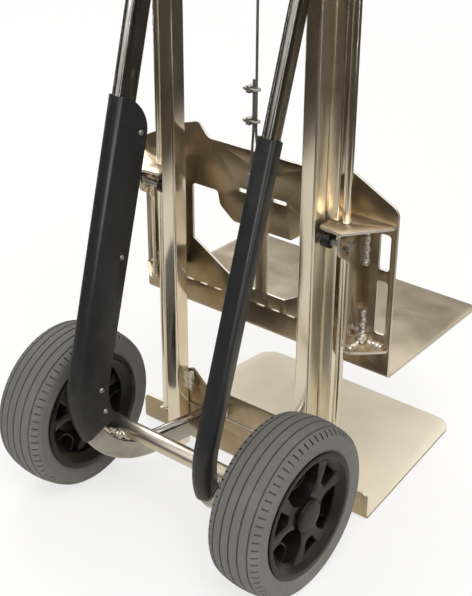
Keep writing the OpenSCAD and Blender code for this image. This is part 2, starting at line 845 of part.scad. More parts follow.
module side_plate_left() { color(steel) on_side(-1) side_plate(); }
module side_plate_right() { color(steel) on_side(1) side_plate(); }
module top_gusset_left() { color(steel) on_side(-1) top_gusset(); }
module top_gusset_right() { color(steel) on_side(1) top_gusset(); }
module bottom_gusset_left() { color(steel) on_side(-1) bottom_gusset(); }
module bottom_gusset_right() { color(steel) on_side(1) bottom_gusset(); }

// Rollers. The upper pair bears on the tracks' backs, the lower pair on their fronts.
roller_in = mast_out + 4;
roller_edge_r = 1.5;
end_t = 1.8;
end_d = bolt_d + 5;
neck_d = bolt_d + 1.6;
head_d = bolt_d * 1.7;
head_h = bolt_d * 0.7;
module roller(p) {
    bore = bolt_d / 2 + run_fit;
    translate([roller_in, p.x, p.y]) along_x() rotate_extrude() polygon(rounded([
        [bore, 0, 0], [roller_d / 2, 0, roller_edge_r], [roller_d / 2, roller_w, roller_edge_r],
        [bore, roller_w, 0]
    ]));
}

// Shoulder bolt: hex head outside the side plate, collar up to the roller, thin head at the end
module roller_bolt(p) {
    out = side_x + sheet_t - roller_in;
    translate([roller_in, p.x, p.y]) along_x() {
        translate([0, 0, -end_t - gap]) cylinder(d = end_d, h = end_t);
        translate([0, 0, -end_t - gap]) cylinder(d = bolt_d, h = out + end_t + gap);
        translate([0, 0, roller_w + gap]) cylinder(d = neck_d, h = out - sheet_t - roller_w - gap);
        translate([0, 0, out]) cylinder(d = head_d, h = head_h, $fn = 6);
    }
}

module roller_upper_left() { color(black_rubber) on_side(-1) roller([upper_y, upper_z]); }
module roller_upper_right() { color(black_rubber) on_side(1) roller([upper_y, upper_z]); }
module roller_lower_left() { color(black_rubber) on_side(-1) roller([lower_y, lower_z]); }
module roller_lower_right() { color(black_rubber) on_side(1) roller([lower_y, lower_z]); }

module roller_bolts() {
    color(dull_steel) for (s = [-1, 1]) on_side(s) {
        roller_bolt([upper_y, upper_z]);
        roller_bolt([lower_y, lower_z]);
    }
}

// Rope. It rises from a pin on the carriage, passes over the head sheave and comes down to the drum.
rope_y = stand_y + 8;
rope_r = rope_d / 2;
pin_rise = 258;
pin_z = shelf_z + pin_rise;
pin_d = 12;
eye_gap = 0.6;
eye_r = pin_d / 2 + rope_r + eye_gap;
tail_gap = 0.8;
tail_x = -rope_d - tail_gap;
clip_z = [pin_z + 88, pin_z + 135];
eye_top = pin_z + 149;
sheave_z = mast_h - 62;
lead_y = rope_y - sheave_d;
rope_sides = 8;

// Rings of points round a path; each ring lies square to the path
function along(path, i) =
    unit(path[min(i + 1, len(path) - 1)] - path[max(i - 1, 0)]);
function ring(p, d, side, r, n) =
    let (u = unit(cross(d, side)), v = cross(d, u))
    [for (k = [0 : n - 1]) p + r * (cos(360 * k / n) * u + sin(360 * k / n) * v)];

// Closed tube along a path; side is a direction that the path never takes
module tube(path, side, r, n) {
    rings = len(path);
    points = [for (i = [0 : rings - 1]) each ring(path[i], along(path, i), side, r, n)];
    walls = [for (i = [0 : rings - 2], k = [0 : n - 1])
        let (a = i * n + k, b = i * n + (k + 1) % n) each [[a, b, a + n], [b, b + n, a + n]]];
    ends = concat(
        [for (k = [1 : n - 2]) [0, k + 1, k]],
        [for (k = [1 : n - 2]) let (last = (rings - 1) * n) [last, last + k, last + k + 1]]
    );
    polyhedron(points, concat(walls, ends));
}

// Bolt through the back plate that holds the rope's eye, with a spacer and a wide head behind
pin_l = plate_y + sheet_t - rope_y + 2 * rope_d;
pin_head_d = pin_d + 12;
pin_head_t = 4;
pin_spacer_d = pin_d + 10;
pin_spacer_l = 8;
pin_nut_d = pin_d * 1.7;
pin_nut_t = 5;
module rope_pin() {
    color(dull_steel) translate([0, plate_y + sheet_t, pin_z]) rotate([90, 0, 0]) {
        cylinder(d = pin_d, h = pin_l + pin_head_t / 2);
        translate([0, 0, pin_l]) cylinder(d = pin_head_d, h = pin_head_t);
        translate([0, 0, sheet_t]) cylinder(d = pin_spacer_d, h = pin_spacer_l);
        translate([0, 0, -pin_nut_t]) cylinder(d = pin_nut_d, h = pin_nut_t, $fn = 6);
    }
}

// Eye round the pin, with the tail laid beside the standing part up to the clips
eye_path = concat(
    [for (z = [eye_top, clip_z[1], clip_z[0], pin_z + 75]) [0, rope_y, z]],
    [[1.2, rope_y, pin_z + 60], [3.8, rope_y, pin_z + 42], [6.6, rope_y, pin_z + 24]],
    [for (a = [10 : -20 : -190]) [eye_r * cos(a), rope_y, pin_z + eye_r * sin(a)]],
    [[-8, rope_y, pin_z + 24], [-6.8, rope_y, pin_z + 42], [-5.6, rope_y, pin_z + 60]],
    [for (z = [pin_z + 75, clip_z[0], clip_z[1], eye_top]) [tail_x, rope_y, z]]
);
module rope_eye() { color(dull_steel) tube(eye_path, [0, 1, 0], rope_r, rope_sides); }

// U-bolt clips that clamp the tail to the standing part: a bow, a saddle and two nuts
clip_wire = 4;
clip_half = (rope_d + clip_wire + tail_gap) / 2;
saddle_half = clip_half + 3.6;
saddle_in = rope_r + tail_gap + rope_r + 1;
saddle_t = 7;
saddle_h = 10;
nut_d = 7;
nut_t = 4;
leg_over = 3;
module rope_clip(z) {
    translate([0, rope_y, z]) {
        difference() {
            translate([-saddle_in - saddle_t, -saddle_half, -saddle_h / 2])
                cube([saddle_t, 2 * saddle_half, saddle_h]);
            translate([tail_x, 0, -saddle_h]) cylinder(r = rope_r, h = 2 * saddle_h);
        }
        rotate([0, 0, -90]) rotate_extrude(angle = 180) translate([clip_half, 0]) circle(d = clip_wire);
        for (s = [-1, 1]) translate([0, s * clip_half, 0]) rotate([0, -90, 0]) {
            cylinder(d = clip_wire, h = saddle_in + saddle_t + nut_t + leg_over);
            translate([0, 0, saddle_in + saddle_t]) cylinder(d = nut_d, h = nut_t, $fn = 6);
        }
    }
}

module rope_clips() {
    color(dull_steel) for (z = clip_z) rope_clip(z);
}

// Run of rope that shortens as the carriage rises
module lifting_rope() {
    color(dull_steel) translate([0, rope_y, eye_top]) cylinder(r = rope_r, h = sheave_z - eye_top);
}

// Turns on the drum: one helix that climbs a pitch a turn, straight for one diameter at each end
turn_pitch = rope_d + 0.6;
turn_steps = 24;
lay_gap = 0.3;
coil_r = drum_d / 2 + lay_gap + rope_r;
drum_x = -coil_r;
drum_y = lead_y;
coil = concat(
    [[drum_x + coil_r, drum_y + rope_loops * turn_pitch, drum_z - rope_d]],
    [for (i = [0 : rope_loops * turn_steps])
        let (a = 360 * i / turn_steps, y = drum_y + turn_pitch * (rope_loops - i / turn_steps))
        [drum_x + coil_r * cos(a), y, drum_z + coil_r * sin(a)]],
    [[drum_x + coil_r, drum_y, drum_z + rope_d]]
);
coil_gap = min([for (i = [0 : len(coil) - 1], j = [i + turn_steps / 2 : len(coil) - 1])
    norm(coil[i] - coil[j])]) - rope_d;
echo(least_gap_between_rope_turns = coil_gap);
module rope_winding() { color(dull_steel) tube(coil, [0, 1, 0], rope_r, 6); }

// Rope over the sheave and down towards the drum, ending where the turning coil passes clear of it
swing_r = norm([coil_r + rope_r, rope_d]) + 2 * gap;
lead_end = drum_z + sqrt(pow(swing_r, 2) - pow(coil_r - rope_r, 2));
lead_path = concat(
    [for (a = [0 : 10 : 180])
        [0, rope_y - sheave_d / 2 * (1 - cos(a)), sheave_z + sheave_d / 2 * sin(a)]],
    [[0, lead_y, lead_end]]
);
module rope_lead() { color(dull_steel) tube(lead_path, [1, 0, 0], rope_r, rope_sides); }

// Winch between the masts: two plates on two cross rails, a geared drum and a crank at the back
rail_bar = 30;
bar_t = 10;
bar_z = [drum_z - 105, drum_z + 75];
flange_t = 3;
flange_r = drum_d / 2 + 20;
gear_t = 11;
gear_side = 3;
winch_t = 4;
drum_front = drum_y + drum_w / 2;
drum_back = drum_y - drum_w / 2;
gear_back = drum_back - flange_t - gear_t;
winch_front = mast_y - winch_t;
winch_back = gear_back - gear_side - winch_t;
gear_gap = (gear_teeth + pinion_teeth) * gear_module / 2;
pinion_z = drum_z - gear_gap;
winch_half = 62;
winch_over = 60;
winch_under = 45;
winch_top = drum_z + winch_over;
winch_low = pinion_z - winch_under;
winch_r = 10;
journal_d = 16;
journal_out = 6;
spacer_x = 50;
spacer_in = 12;
spacer_wall = 3;
winch_head_d = bolt_d * 1.8;
winch_head_h = 5;

module cross_rails() {
    color(steel) for (z = bar_z) translate([-mast_gap / 2, mast_y, z]) cube([mast_gap, bar_t, rail_bar]);
}

winch_posts = [for (x = [-spacer_x, spacer_x], z = [winch_low + spacer_in, winch_top - spacer_in])
    [drum_x + x, z]];
module winch_plate(y) {
    standing(y, winch_t) difference() {
        polygon(rounded([
            [drum_x - winch_half, winch_low, winch_r], [drum_x + winch_half, winch_low, winch_r],
            [drum_x + winch_half, winch_top, winch_r], [drum_x - winch_half, winch_top, winch_r]
        ]));
        for (z = [drum_z, pinion_z]) translate([drum_x, z]) circle(d = journal_d + 2 * run_fit);
        for (p = winch_posts) translate(p) circle(d = bolt_d);
    }
}

module winch_plates() {
    color(dull_steel) {
        winch_plate(winch_front);
        winch_plate(winch_back);
    }
}

// Tubes that hold the two plates apart
module winch_spacers() {
    length = winch_front - winch_back - winch_t;
    color(dull_steel) for (p = winch_posts) translate([p.x, winch_back + winch_t, p.y]) along_y()
        difference() {
            cylinder(d = bolt_d + 2 * spacer_wall, h = length);
            translate([0, 0, -cut]) cylinder(d = bolt_d, h = length + 2 * cut);
        }
}

// Long bolts through both plates and the tubes, up to the cross rails
module winch_bolts() {
    color(dull_steel) for (p = winch_posts) translate([p.x, winch_back, p.y]) along_y() {
        cylinder(d = bolt_d, h = mast_y - winch_back);
        translate([0, 0, -winch_head_h]) cylinder(d = winch_head_d, h = winch_head_h, $fn = 6);
    }
}

module drum() {
    color(dull_steel) translate([drum_x, 0, drum_z]) {
        translate([0, winch_back - journal_out, 0]) along_y()
            cylinder(d = journal_d, h = winch_front + winch_t - winch_back + journal_out);
        translate([0, drum_back, 0]) along_y() cylinder(d = drum_d, h = drum_w);
        for (y = [drum_back - flange_t, drum_front]) translate([0, y, 0]) along_y()
            cylinder(r = flange_r, h = flange_t);
    }
}

// Involute gear: each tooth's flanks follow the unwinding of a thread from the base circle
pressure = 25;
backlash = 0.22;
addendum = 0.95;
dedendum = 1.25;
flank_steps = 4;
point_step = 0.0001;
function involute(r, base) = r <= base ? 0 : let (a = acos(base / r)) tan(a) * 180 / PI - a;
function flank(teeth, r) =
    let (pitch = teeth * gear_module / 2, base = pitch * cos(pressure))
    90 / teeth - backlash / pitch * 90 / PI + involute(pitch, base) - involute(r, base);
function polar(r, a) = [r * cos(a), r * sin(a)];
function gear_outline(teeth) =
    let (pitch = teeth * gear_module / 2)
    let (root = pitch - dedendum * gear_module, tip = pitch + addendum * gear_module)
    let (start = max(root, pitch * cos(pressure)), radii = [root, for (i = [0 : flank_steps])
        start + (tip - start) * i / flank_steps])
    [for (t = [0 : teeth - 1]) let (a = 360 * t / teeth) each concat(
        [for (i = [0 : len(radii) - 1]) polar(radii[i] + i * point_step, a - flank(teeth, radii[i]))],
        [for (i = [len(radii) - 1 : -1 : 0]) polar(radii[i] + i * point_step, a + flank(teeth, radii[i]))]
    )];

// Gear pinned beside the drum, lightened by a ring of holes
gear_holes = 6;
gear_hole_r = 9;
gear_web = 10;
module drum_gear() {
    hole_at = gear_teeth * gear_module / 2 - gear_web - gear_hole_r;
    color(dull_steel) translate([drum_x, gear_back + gear_t, drum_z]) rotate([90, 0, 0])
        linear_extrude(gear_t) rotate(-90) difference() {
            polygon(gear_outline(gear_teeth));
            circle(d = journal_d);
            for (i = [0 : gear_holes - 1]) rotate(360 * i / gear_holes)
                translate([hole_at, 0]) circle(gear_hole_r);
        }
}

// Pinion cut on its own shaft, which carries the crank behind the rear plate
shaft_end = winch_back - 30;
module pinion() {
    color(dull_steel) translate([drum_x, 0, pinion_z]) {
        translate([0, gear_back + gear_t, 0]) rotate([90, 0, 0]) linear_extrude(gear_t)
            rotate(90 + 180 / pinion_teeth) polygon(gear_outline(pinion_teeth));
        translate([0, shaft_end, 0]) along_y() cylinder(d = journal_d, h = winch_front + winch_t - shaft_end);
    }
}

// Crank: a flat arm with a boss on the pinion's shaft and a headed pin for the grip
crank_t = 8;
crank_w = 26;
crank_edge = 2;
boss_wall = 8;
boss_l = 14;
boss_floor = 2;
grip_pin_d = 12;
grip_pin_head = 20;
grip_pin_cap = 4;
grip_l = 96;
grip_end = 6;
crank_y = shaft_end - boss_floor;
module crank_arm() {
    color(dull_steel) translate([drum_x, crank_y, pinion_z]) {
        difference() {
            union() {
                along_y() cylinder(d = journal_d + 2 * boss_wall, h = boss_l);
                translate([0, 0, crank_r]) along_y() cylinder(d = crank_w, h = crank_t);
                translate([crank_edge - crank_w / 2, 0, 0])
                    cube([crank_w - 2 * crank_edge, crank_t, crank_r]);
            }
            translate([0, boss_floor, 0]) along_y() cylinder(d = journal_d, h = boss_l);
        }
        translate([0, -grip_l - grip_end, crank_r]) along_y() {
            cylinder(d = grip_pin_d, h = grip_l + grip_end + crank_t);
            cylinder(d = grip_pin_head, h = grip_pin_cap);
        }
    }
}

// Turning grip on the crank's pin: thin at the outer end and behind the hand, swollen in the palm
grip_thin = 13;
grip_thick = 16;
palm_at = 34;
waist_at = 77;
palm_r = 40;
waist_round = 20;
grip_edge_r = 3;
grip_side = 1;
module crank_grip() {
    bore = grip_pin_d / 2 + run_fit;
    color(black_rubber) translate([drum_x, crank_y - grip_l - grip_side, pinion_z + crank_r]) along_y()
        rotate_extrude() polygon(rounded([
            [bore, 0, 0], [grip_thin, 0, grip_edge_r], [grip_thick, palm_at, palm_r],
            [grip_thin, waist_at, waist_round], [grip_thick, grip_l, grip_edge_r], [bore, grip_l, 0]
        ]));
}

// Head: a plate across the tops of the masts and rods, with a sheave in a bracket under it
head_t = 6;
head_edge = 6;
head_side = 14;
head_r = 8;
head_mid_r = 4;
cheek_gap = 16;
cheek_t = 5;
cheek_half = 22;
cheek_low = 14;
cheek_low_r = 13.9;
sheave_w = 12;
sheave_wall = 4;
sheave_pin_d = 12;
sheave_head_d = 18;
sheave_head_t = 4;
sheave_y = rope_y - sheave_d / 2;
head_back = sheave_y - cheek_half - head_mid_r;
module head_plate() {
    half = guide_x + guide_d / 2 + head_edge;
    color(steel) translate([0, 0, mast_h]) linear_extrude(head_t) polygon(rounded([
        [-half, head_back + head_side, head_r], [-mast_gap / 2, head_back, head_mid_r],
        [mast_gap / 2, head_back, head_mid_r], [half, head_back + head_side, head_r],
        [half, stand_y, head_r], [-half, stand_y, head_r]
    ]));
}

module sheave_bracket() {
    color(steel) for (s = [-1, 1]) on_side(s) facing(cheek_gap / 2, cheek_t) difference() {
        polygon(rounded([
            [sheave_y - cheek_low, sheave_z - cheek_low, cheek_low_r],
            [sheave_y + cheek_low, sheave_z - cheek_low, cheek_low_r],
            [sheave_y + cheek_half, mast_h, 0], [sheave_y - cheek_half, mast_h, 0]
        ]));
        translate([sheave_y, sheave_z]) circle(d = sheave_pin_d);
    }
}

module sheave_pin() {
    length = cheek_gap + 2 * cheek_t;
    color(dull_steel) translate([-length / 2, sheave_y, sheave_z]) along_x() {
        cylinder(d = sheave_pin_d, h = length);
        for (z = [-sheave_head_t, length]) translate([0, 0, z])
            cylinder(d = sheave_head_d, h = sheave_head_t);
    }
}

module sheave() {
    bore = sheave_pin_d / 2 + run_fit;
    color(black_plastic) translate([0, sheave_y, sheave_z]) along_x() rotate_extrude() difference() {
        translate([bore, -sheave_w / 2]) square([sheave_d / 2 + sheave_wall - bore, sheave_w]);
        translate([sheave_d / 2, 0]) circle(rope_r + gap);
        translate([sheave_d / 2, -rope_r - gap]) square([sheave_d, 2 * rope_r + 2 * gap]);
    }
}

// Handles: tubes standing on the masts' backs that turn to the rear under a grip
handle_bend = 60;
handle_z = mast_h - 190;
handle_up = 110;
handle_l = 112;
handle_wall = 2;
handle_y = mast_y - handle_d / 2;
handle_top = handle_z + handle_up + handle_bend;
module handle() {
    translate([mast_x, handle_y, handle_top]) difference() {
        union() {
            translate([0, 0, -handle_up - handle_bend]) cylinder(d = handle_d, h = handle_up);
            translate([0, -handle_bend, -handle_bend]) rotate([90, 0, 90]) rotate_extrude(angle = 90)
                translate([handle_bend, 0]) circle(d = handle_d);
            translate([0, -handle_bend, 0]) rotate([90, 0, 0]) cylinder(d = handle_d, h = handle_l);
        }
        translate([0, cut - handle_bend, 0]) rotate([90, 0, 0])
            cylinder(d = handle_d - 2 * handle_wall, h = handle_l + 2 * cut);
    }
}

// Moulded grip with rings for the fingers
grip_wall = 4;
grip_cap = 6;
finger_rings = 7;
finger_step = 14;
finger_from = 16;
finger_r = 2;
module grip() {
    out = handle_d / 2 + grip_wall;
    translate([mast_x, handle_y - handle_bend, handle_top]) rotate([90, 0, 0]) difference() {
        rotate_extrude() difference() {
            polygon(rounded([
                [0, 0, 0], [out, 0, grip_edge_r], [out, handle_l + grip_cap, grip_cap],
                [0, handle_l + grip_cap, 0]
            ]));
            for (i = [0 : finger_rings - 1]) translate([out, finger_from + finger_step * i])
                circle(finger_r);
        }
        translate([0, 0, -cut]) cylinder(d = handle_d, h = handle_l + cut);
    }
}

module handle_left() { color(steel) on_side(-1) handle(); }
module handle_right() { color(steel) on_side(1) handle(); }
module grip_left() { color(black_rubber) on_side(-1) grip(); }
module grip_right() { color(black_rubber) on_side(1) grip(); }

tyre_left();
tyre_right();
rim_left();
rim_right();
hub_cap_left();
hub_cap_right();
hub_bushes_left();
hub_bushes_right();
axle_shaft();
axle_tube();
axle_collars();
mast_left();
mast_right();
rail_left();
rail_right();
guide_rod_left();
guide_rod_right();
strut_left();
strut_right();
strut_cover_left();
strut_cover_right();
cover_screws();
toe_plate();
foot_plate();
carriage_plate();
side_plate_left();
side_plate_right();
top_gusset_left();
top_gusset_right();
bottom_gusset_left();
bottom_gusset_right();
roller_upper_left();
roller_upper_right();
roller_lower_left();
roller_lower_right();
roller_bolts();
rope_pin();
rope_clips();
rope_eye();
lifting_rope();
rope_lead();
rope_winding();
cross_rails();
winch_plates();
winch_spacers();
winch_bolts();
drum();
drum_gear();
pinion();
crank_arm();
crank_grip();
head_plate();
sheave_bracket();
sheave_pin();
sheave();
handle_left();
handle_right();
grip_left();
grip_right();
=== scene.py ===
# %% [markdown]
# # A lifting hand truck
#
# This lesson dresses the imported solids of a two-wheeled hand truck: bright stainless masts and
# plates, charcoal glide covers on the struts, grey tyres and a wire rope that lifts the carriage.
# The solids already have the right sizes, so most of them only need a finish. Pieces that a solid
# shows too plainly, such as the tread of the tyres, the lay of the rope and the weld seams, are
# modelled here and ride on the same bodies.

# %% Load the solids
import math

import bmesh
import bpy
from mathutils import Matrix, Vector, geometry


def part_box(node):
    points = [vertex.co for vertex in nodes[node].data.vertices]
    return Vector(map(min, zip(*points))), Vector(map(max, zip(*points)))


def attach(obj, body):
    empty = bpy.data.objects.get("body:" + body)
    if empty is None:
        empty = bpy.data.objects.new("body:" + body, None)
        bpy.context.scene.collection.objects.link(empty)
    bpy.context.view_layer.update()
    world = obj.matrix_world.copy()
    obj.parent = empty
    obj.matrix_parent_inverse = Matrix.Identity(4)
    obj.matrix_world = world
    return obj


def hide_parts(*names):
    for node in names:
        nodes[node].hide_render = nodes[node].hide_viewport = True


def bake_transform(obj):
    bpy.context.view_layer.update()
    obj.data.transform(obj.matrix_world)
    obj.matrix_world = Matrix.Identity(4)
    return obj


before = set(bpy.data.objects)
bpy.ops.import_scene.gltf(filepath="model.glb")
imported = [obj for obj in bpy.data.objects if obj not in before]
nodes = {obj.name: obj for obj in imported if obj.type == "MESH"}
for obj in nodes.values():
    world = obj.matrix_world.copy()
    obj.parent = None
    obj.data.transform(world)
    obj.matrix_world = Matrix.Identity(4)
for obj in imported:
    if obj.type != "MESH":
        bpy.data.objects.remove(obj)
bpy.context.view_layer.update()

# %% [markdown]
# ## Camera
#
# The photograph looks down on the truck from behind and to the right, over the shoulder of the
# person who would push it. A camera could be aimed with a constraint, but three direction vectors
# and a point say the same thing once and for all, so the matrix is built from them. The picture
# leans by a third of a degree, which is the roll at the end.

# %% Camera
scene = bpy.context.scene
scene.view_settings.view_transform = "Standard"

eye = Vector((0.9975, -1.2917, 1.1848))
ahead = Vector((-0.5486, 0.6897, -0.4726)).normalized()
right = Vector((0.7826, 0.6225, 0.0)).normalized()
upward = right.cross(ahead)
roll = math.radians(0.31)

camera_data = bpy.data.cameras.new("photo_camera")
camera_data.sensor_fit = "VERTICAL"
camera_data.sensor_height = 36.0
camera_data.lens = 73.73
camera_data.clip_end = 50.0
camera = bpy.data.objects.new("photo_camera", camera_data)
turn = Matrix((right, upward, -ahead)).transposed().to_4x4()
camera.matrix_world = Matrix.Translation(eye) @ turn @ Matrix.Rotation(roll, 4, "Z")
scene.collection.objects.link(camera)
scene.camera = camera
print("camera at", tuple(round(v, 3) for v in eye), "lens", camera_data.lens)

# %% [markdown]
# ## Node helpers
#
# Every finish below is a small graph of shader nodes. Adding a node takes three or four lines in
# plain bpy, so helpers shorten it: one adds a node and sets its fields and sockets, another starts
# a material with a Principled shader.


# %% Adding nodes
def add_node(tree, kind, fields=None, **sockets):
    """Adds a node and sets its fields. Sockets, by name or as i0, i1, take a value or a link."""
    made = tree.nodes.new(kind)
    for name, value in (fields or {}).items():
        setattr(made, name, value)
    for name, value in sockets.items():
        key = int(name[1:]) if name[0] == "i" and name[1:].isdigit() else name.replace("_", " ")
        if isinstance(value, bpy.types.NodeSocket):
            tree.links.new(value, made.inputs[key])
        else:
            made.inputs[key].default_value = value
    return made


def start_material(name, **constants):
    """A new material with one Principled shader whose plain values are set on its own sockets."""
    material = bpy.data.materials.new(name)
    material.use_nodes = True
    shader = material.node_tree.nodes["Principled BSDF"]
    for key, value in constants.items():
        shader.inputs[key.replace("_", " ")].default_value = value
    return material, material.node_tree, shader


# %% [markdown]
# Three more helpers stand for the nodes that turn up most: a sum on one or two values, a map from
# one range to another, and a colour ramp.


# %% Sums, ranges and ramps
def reckon(tree, operation, *values, clamp=False):
    """The result of one Math node on the values."""
    inputs = {f"i{i}": value for i, value in enumerate(values)}
    made = add_node(tree, "ShaderNodeMath", {"operation": operation, "use_clamp": clamp}, **inputs)
    return made.outputs["Value"]


def span(tree, value, source=(0.0, 1.0), target=(0.0, 1.0)):
    """Maps a value from the source range to the target range and keeps it inside."""
    made = add_node(tree, "ShaderNodeMapRange", Value=value, From_Min=source[0], From_Max=source[1],
                    To_Min=target[0], To_Max=target[1])
    return made.outputs["Result"]


def ramp(tree, factor, *stops):
    """A colour ramp through (place, colour) stops."""
    made = add_node(tree, "ShaderNodeValToRGB", Fac=factor)
    points = made.color_ramp.elements
    while len(points) < len(stops):
        points.new(0.5)
    for point, (place, colour) in zip(points, stops):
        point.position = place
        point.color = (*colour, 1.0)
    return made.outputs["Color"]


# %% [markdown]
# ## Studio
#
# The world is white to the camera and gives even fill light. Bright metal only looks like metal if
# it has something to mirror. White all round would turn it into white plastic, and a photographed
# room isn't at hand, so rays that bounce off a glossy surface see a drawn room instead: a cream
# ceiling over a dark wall, with a noise that keeps the border between them from being straight.

# %% World
world = bpy.data.worlds.new("studio")
scene.world = world
world.use_nodes = True
sky = world.node_tree
sky.nodes.clear()
WALL_LOW, WALL_HIGH = (0.030, 0.027, 0.025), (0.09, 0.075, 0.06)
CREAM, CEILING = (0.92, 0.88, 0.81), (1.0, 0.98, 0.95)
WHITE = (1.0, 1.0, 1.0, 1.0)

outlook = add_node(sky, "ShaderNodeTexCoord").outputs["Generated"]
axes = add_node(sky, "ShaderNodeSeparateXYZ", Vector=outlook)
flat = add_node(sky, "ShaderNodeMapping", Vector=outlook, Scale=(1.0, 1.0, 0.12))
bands = add_node(sky, "ShaderNodeTexNoise", Vector=flat.outputs["Vector"], Scale=1.7, Detail=1.0)
level = reckon(sky, "MULTIPLY_ADD", bands.outputs["Fac"], 0.4, axes.outputs["Z"])
room = ramp(sky, level, (0.30, WALL_LOW), (0.50, WALL_HIGH), (0.60, CREAM), (0.75, CEILING))

rays = add_node(sky, "ShaderNodeLightPath")
white = add_node(sky, "ShaderNodeBackground", Color=WHITE, Strength=1.0)
fill = add_node(sky, "ShaderNodeBackground", Color=(1.0, 0.985, 0.96, 1.0), Strength=0.72)
mirrored_room = add_node(sky, "ShaderNodeBackground", Color=room, Strength=1.0)
glossy = add_node(sky, "ShaderNodeMixShader", Fac=rays.outputs["Is Glossy Ray"],
                  i1=fill.outputs[0], i2=mirrored_room.outputs[0])
seen = add_node(sky, "ShaderNodeMixShader", Fac=rays.outputs["Is Camera Ray"],
                i1=glossy.outputs[0], i2=white.outputs[0])
add_node(sky, "ShaderNodeOutputWorld", Surface=seen.outputs[0])
print("world nodes:", len(sky.nodes))

# %% [markdown]
# The truck stands on a pale floor. A shadow catcher would need the compositor, so the floor is a
# plain sheet that is mostly white light to the camera and takes the shadow with the rest. Farther
# out it turns all white, so no edge shows against the world.

# %% Floor
FLOOR_HALF = 9.0
FADE_FROM_TO = (1.2, 4.0)
WHITE_SHARE = (0.72, 1.0)


def flat_sheet(name, material):
    """A level square on the floor."""
    edit = bmesh.new()
    bmesh.ops.create_grid(edit, x_segments=1, y_segments=1, size=FLOOR_HALF)
    mesh = bpy.data.meshes.new(name)
    edit.to_mesh(mesh)
    edit.free()
    mesh.materials.append(material)
    made = bpy.data.objects.new(name, mesh)
    scene.collection.objects.link(made)
    return made


paper, tree, shader = start_material("floor_paper", Base_Color=(0.95, 0.948, 0.94, 1.0), Roughness=0.9,
                                     Specular_IOR_Level=0.1)
spot = add_node(tree, "ShaderNodeTexCoord").outputs["Object"]
reach = add_node(tree, "ShaderNodeVectorMath", {"operation": "LENGTH"}, i0=spot)
share = span(tree, reach.outputs["Value"], FADE_FROM_TO, WHITE_SHARE)
to_camera = reckon(tree, "MULTIPLY", add_node(tree, "ShaderNodeLightPath").outputs["Is Camera Ray"], share)
lightbox = add_node(tree, "ShaderNodeEmission", Color=WHITE, Strength=1.0)
pale = add_node(tree, "ShaderNodeMixShader", Fac=to_camera, i1=shader.outputs[0], i2=lightbox.outputs[0])
tree.links.new(pale.outputs[0], tree.nodes["Material Output"].inputs["Surface"])

floor = flat_sheet("floor", paper)
floor.visible_glossy = False
print("floor half width:", FLOOR_HALF)

# %% [markdown]
# The photographed masts are bright low down and turn dark at one height, as steel does that mirrors
# a strip of pale paper and then the dark floor beside it. Cards could be stood round the truck, as
# in a real studio, but they would also throw shadows. So a second floor lies here for mirrors only.

# %% Mirrored floor
PAPER, WOOD_DARK, WOOD = (1.0, 0.95, 0.84, 1.0), (0.030, 0.024, 0.020), (0.10, 0.075, 0.05)
PAPER_EDGE = (1.00, 1.25)
NARROWER = 1.3

boards, tree, shader = start_material("paper_on_boards", Roughness=0.8, Specular_IOR_Level=0.1)
spot = add_node(tree, "ShaderNodeTexCoord").outputs["Object"]
grain = add_node(tree, "ShaderNodeTexNoise", Vector=spot, Scale=2.5, Detail=3.0)
wood = ramp(tree, grain.outputs["Fac"], (0.35, WOOD_DARK), (0.65, WOOD))
across, along = [add_node(tree, "ShaderNodeVectorMath", {"operation": "DOT_PRODUCT"}, i0=spot, i1=way)
                 for way in (right, Vector((-right.y, right.x, 0.0)))]
aside = reckon(tree, "ABSOLUTE", across.outputs["Value"])
away = reckon(tree, "MULTIPLY", reckon(tree, "ABSOLUTE", along.outputs["Value"]), NARROWER)
off_paper = span(tree, reckon(tree, "MAXIMUM", aside, away), PAPER_EDGE)
laid_out = add_node(tree, "ShaderNodeMix", {"data_type": "RGBA"}, i0=off_paper, i6=PAPER, i7=wood)
tree.links.new(laid_out.outputs[2], shader.inputs["Base Color"])

board = flat_sheet("mirrored_floor", boards)
for ray in ("camera", "diffuse", "transmission", "volume_scatter", "shadow"):
    setattr(board, "visible_" + ray, False)
print("mirrored floor:", boards.name)

# %% [markdown]
# One wide lamp from behind the camera's right shoulder gives the soft shadow, a second one from the
# far side lights the edges, and two narrow upright strips draw lines of light on the round tubes.


# %% Lamps
def soft_lamp(name, spot, aim, size, power, colour, height=None):
    """A round area lamp of some size, or an upright strip of that width if it has a height."""
    lamp = bpy.data.lights.new(name, "AREA")
    lamp.shape = "RECTANGLE" if height else "DISK"
    lamp.size = size
    lamp.size_y = height or size
    lamp.energy = power
    lamp.color = colour
    made = bpy.data.objects.new(name, lamp)
    made.location = spot
    made.rotation_euler = (Vector(aim) - Vector(spot)).to_track_quat("-Z", "Y").to_euler()
    made.visible_camera = False
    scene.collection.objects.link(made)
    return made


soft_lamp("key", (1.6, -1.4, 3.2), (0.0, 0.0, 0.4), 2.2, 55.0, (1.0, 0.97, 0.92))
soft_lamp("rim_light", (-2.4, 1.6, 2.6), (0.0, 0.0, 0.6), 1.8, 30.0, (1.0, 0.98, 0.95))
soft_lamp("strip_left", (-2.2, -0.25, 0.7), (0.0, -0.1, 0.7), 0.07, 3.0, (1.0, 0.99, 0.97), 1.6)
soft_lamp("strip_right", (2.2, -0.50, 0.7), (0.0, -0.1, 0.7), 0.05, 2.0, (1.0, 0.99, 0.97), 1.6)

# %% [markdown]
# ## Shared effects
#
# Three effects turn up in several finishes, and each is one node group that puts out masks, so a
# finish decides for itself what to do with them. They could be copied into every material, but a
# group is mended once for all. These helpers start a group and put one to use.


# %% Groups
VALUE, VECTOR = "NodeSocketFloat", "NodeSocketVector"


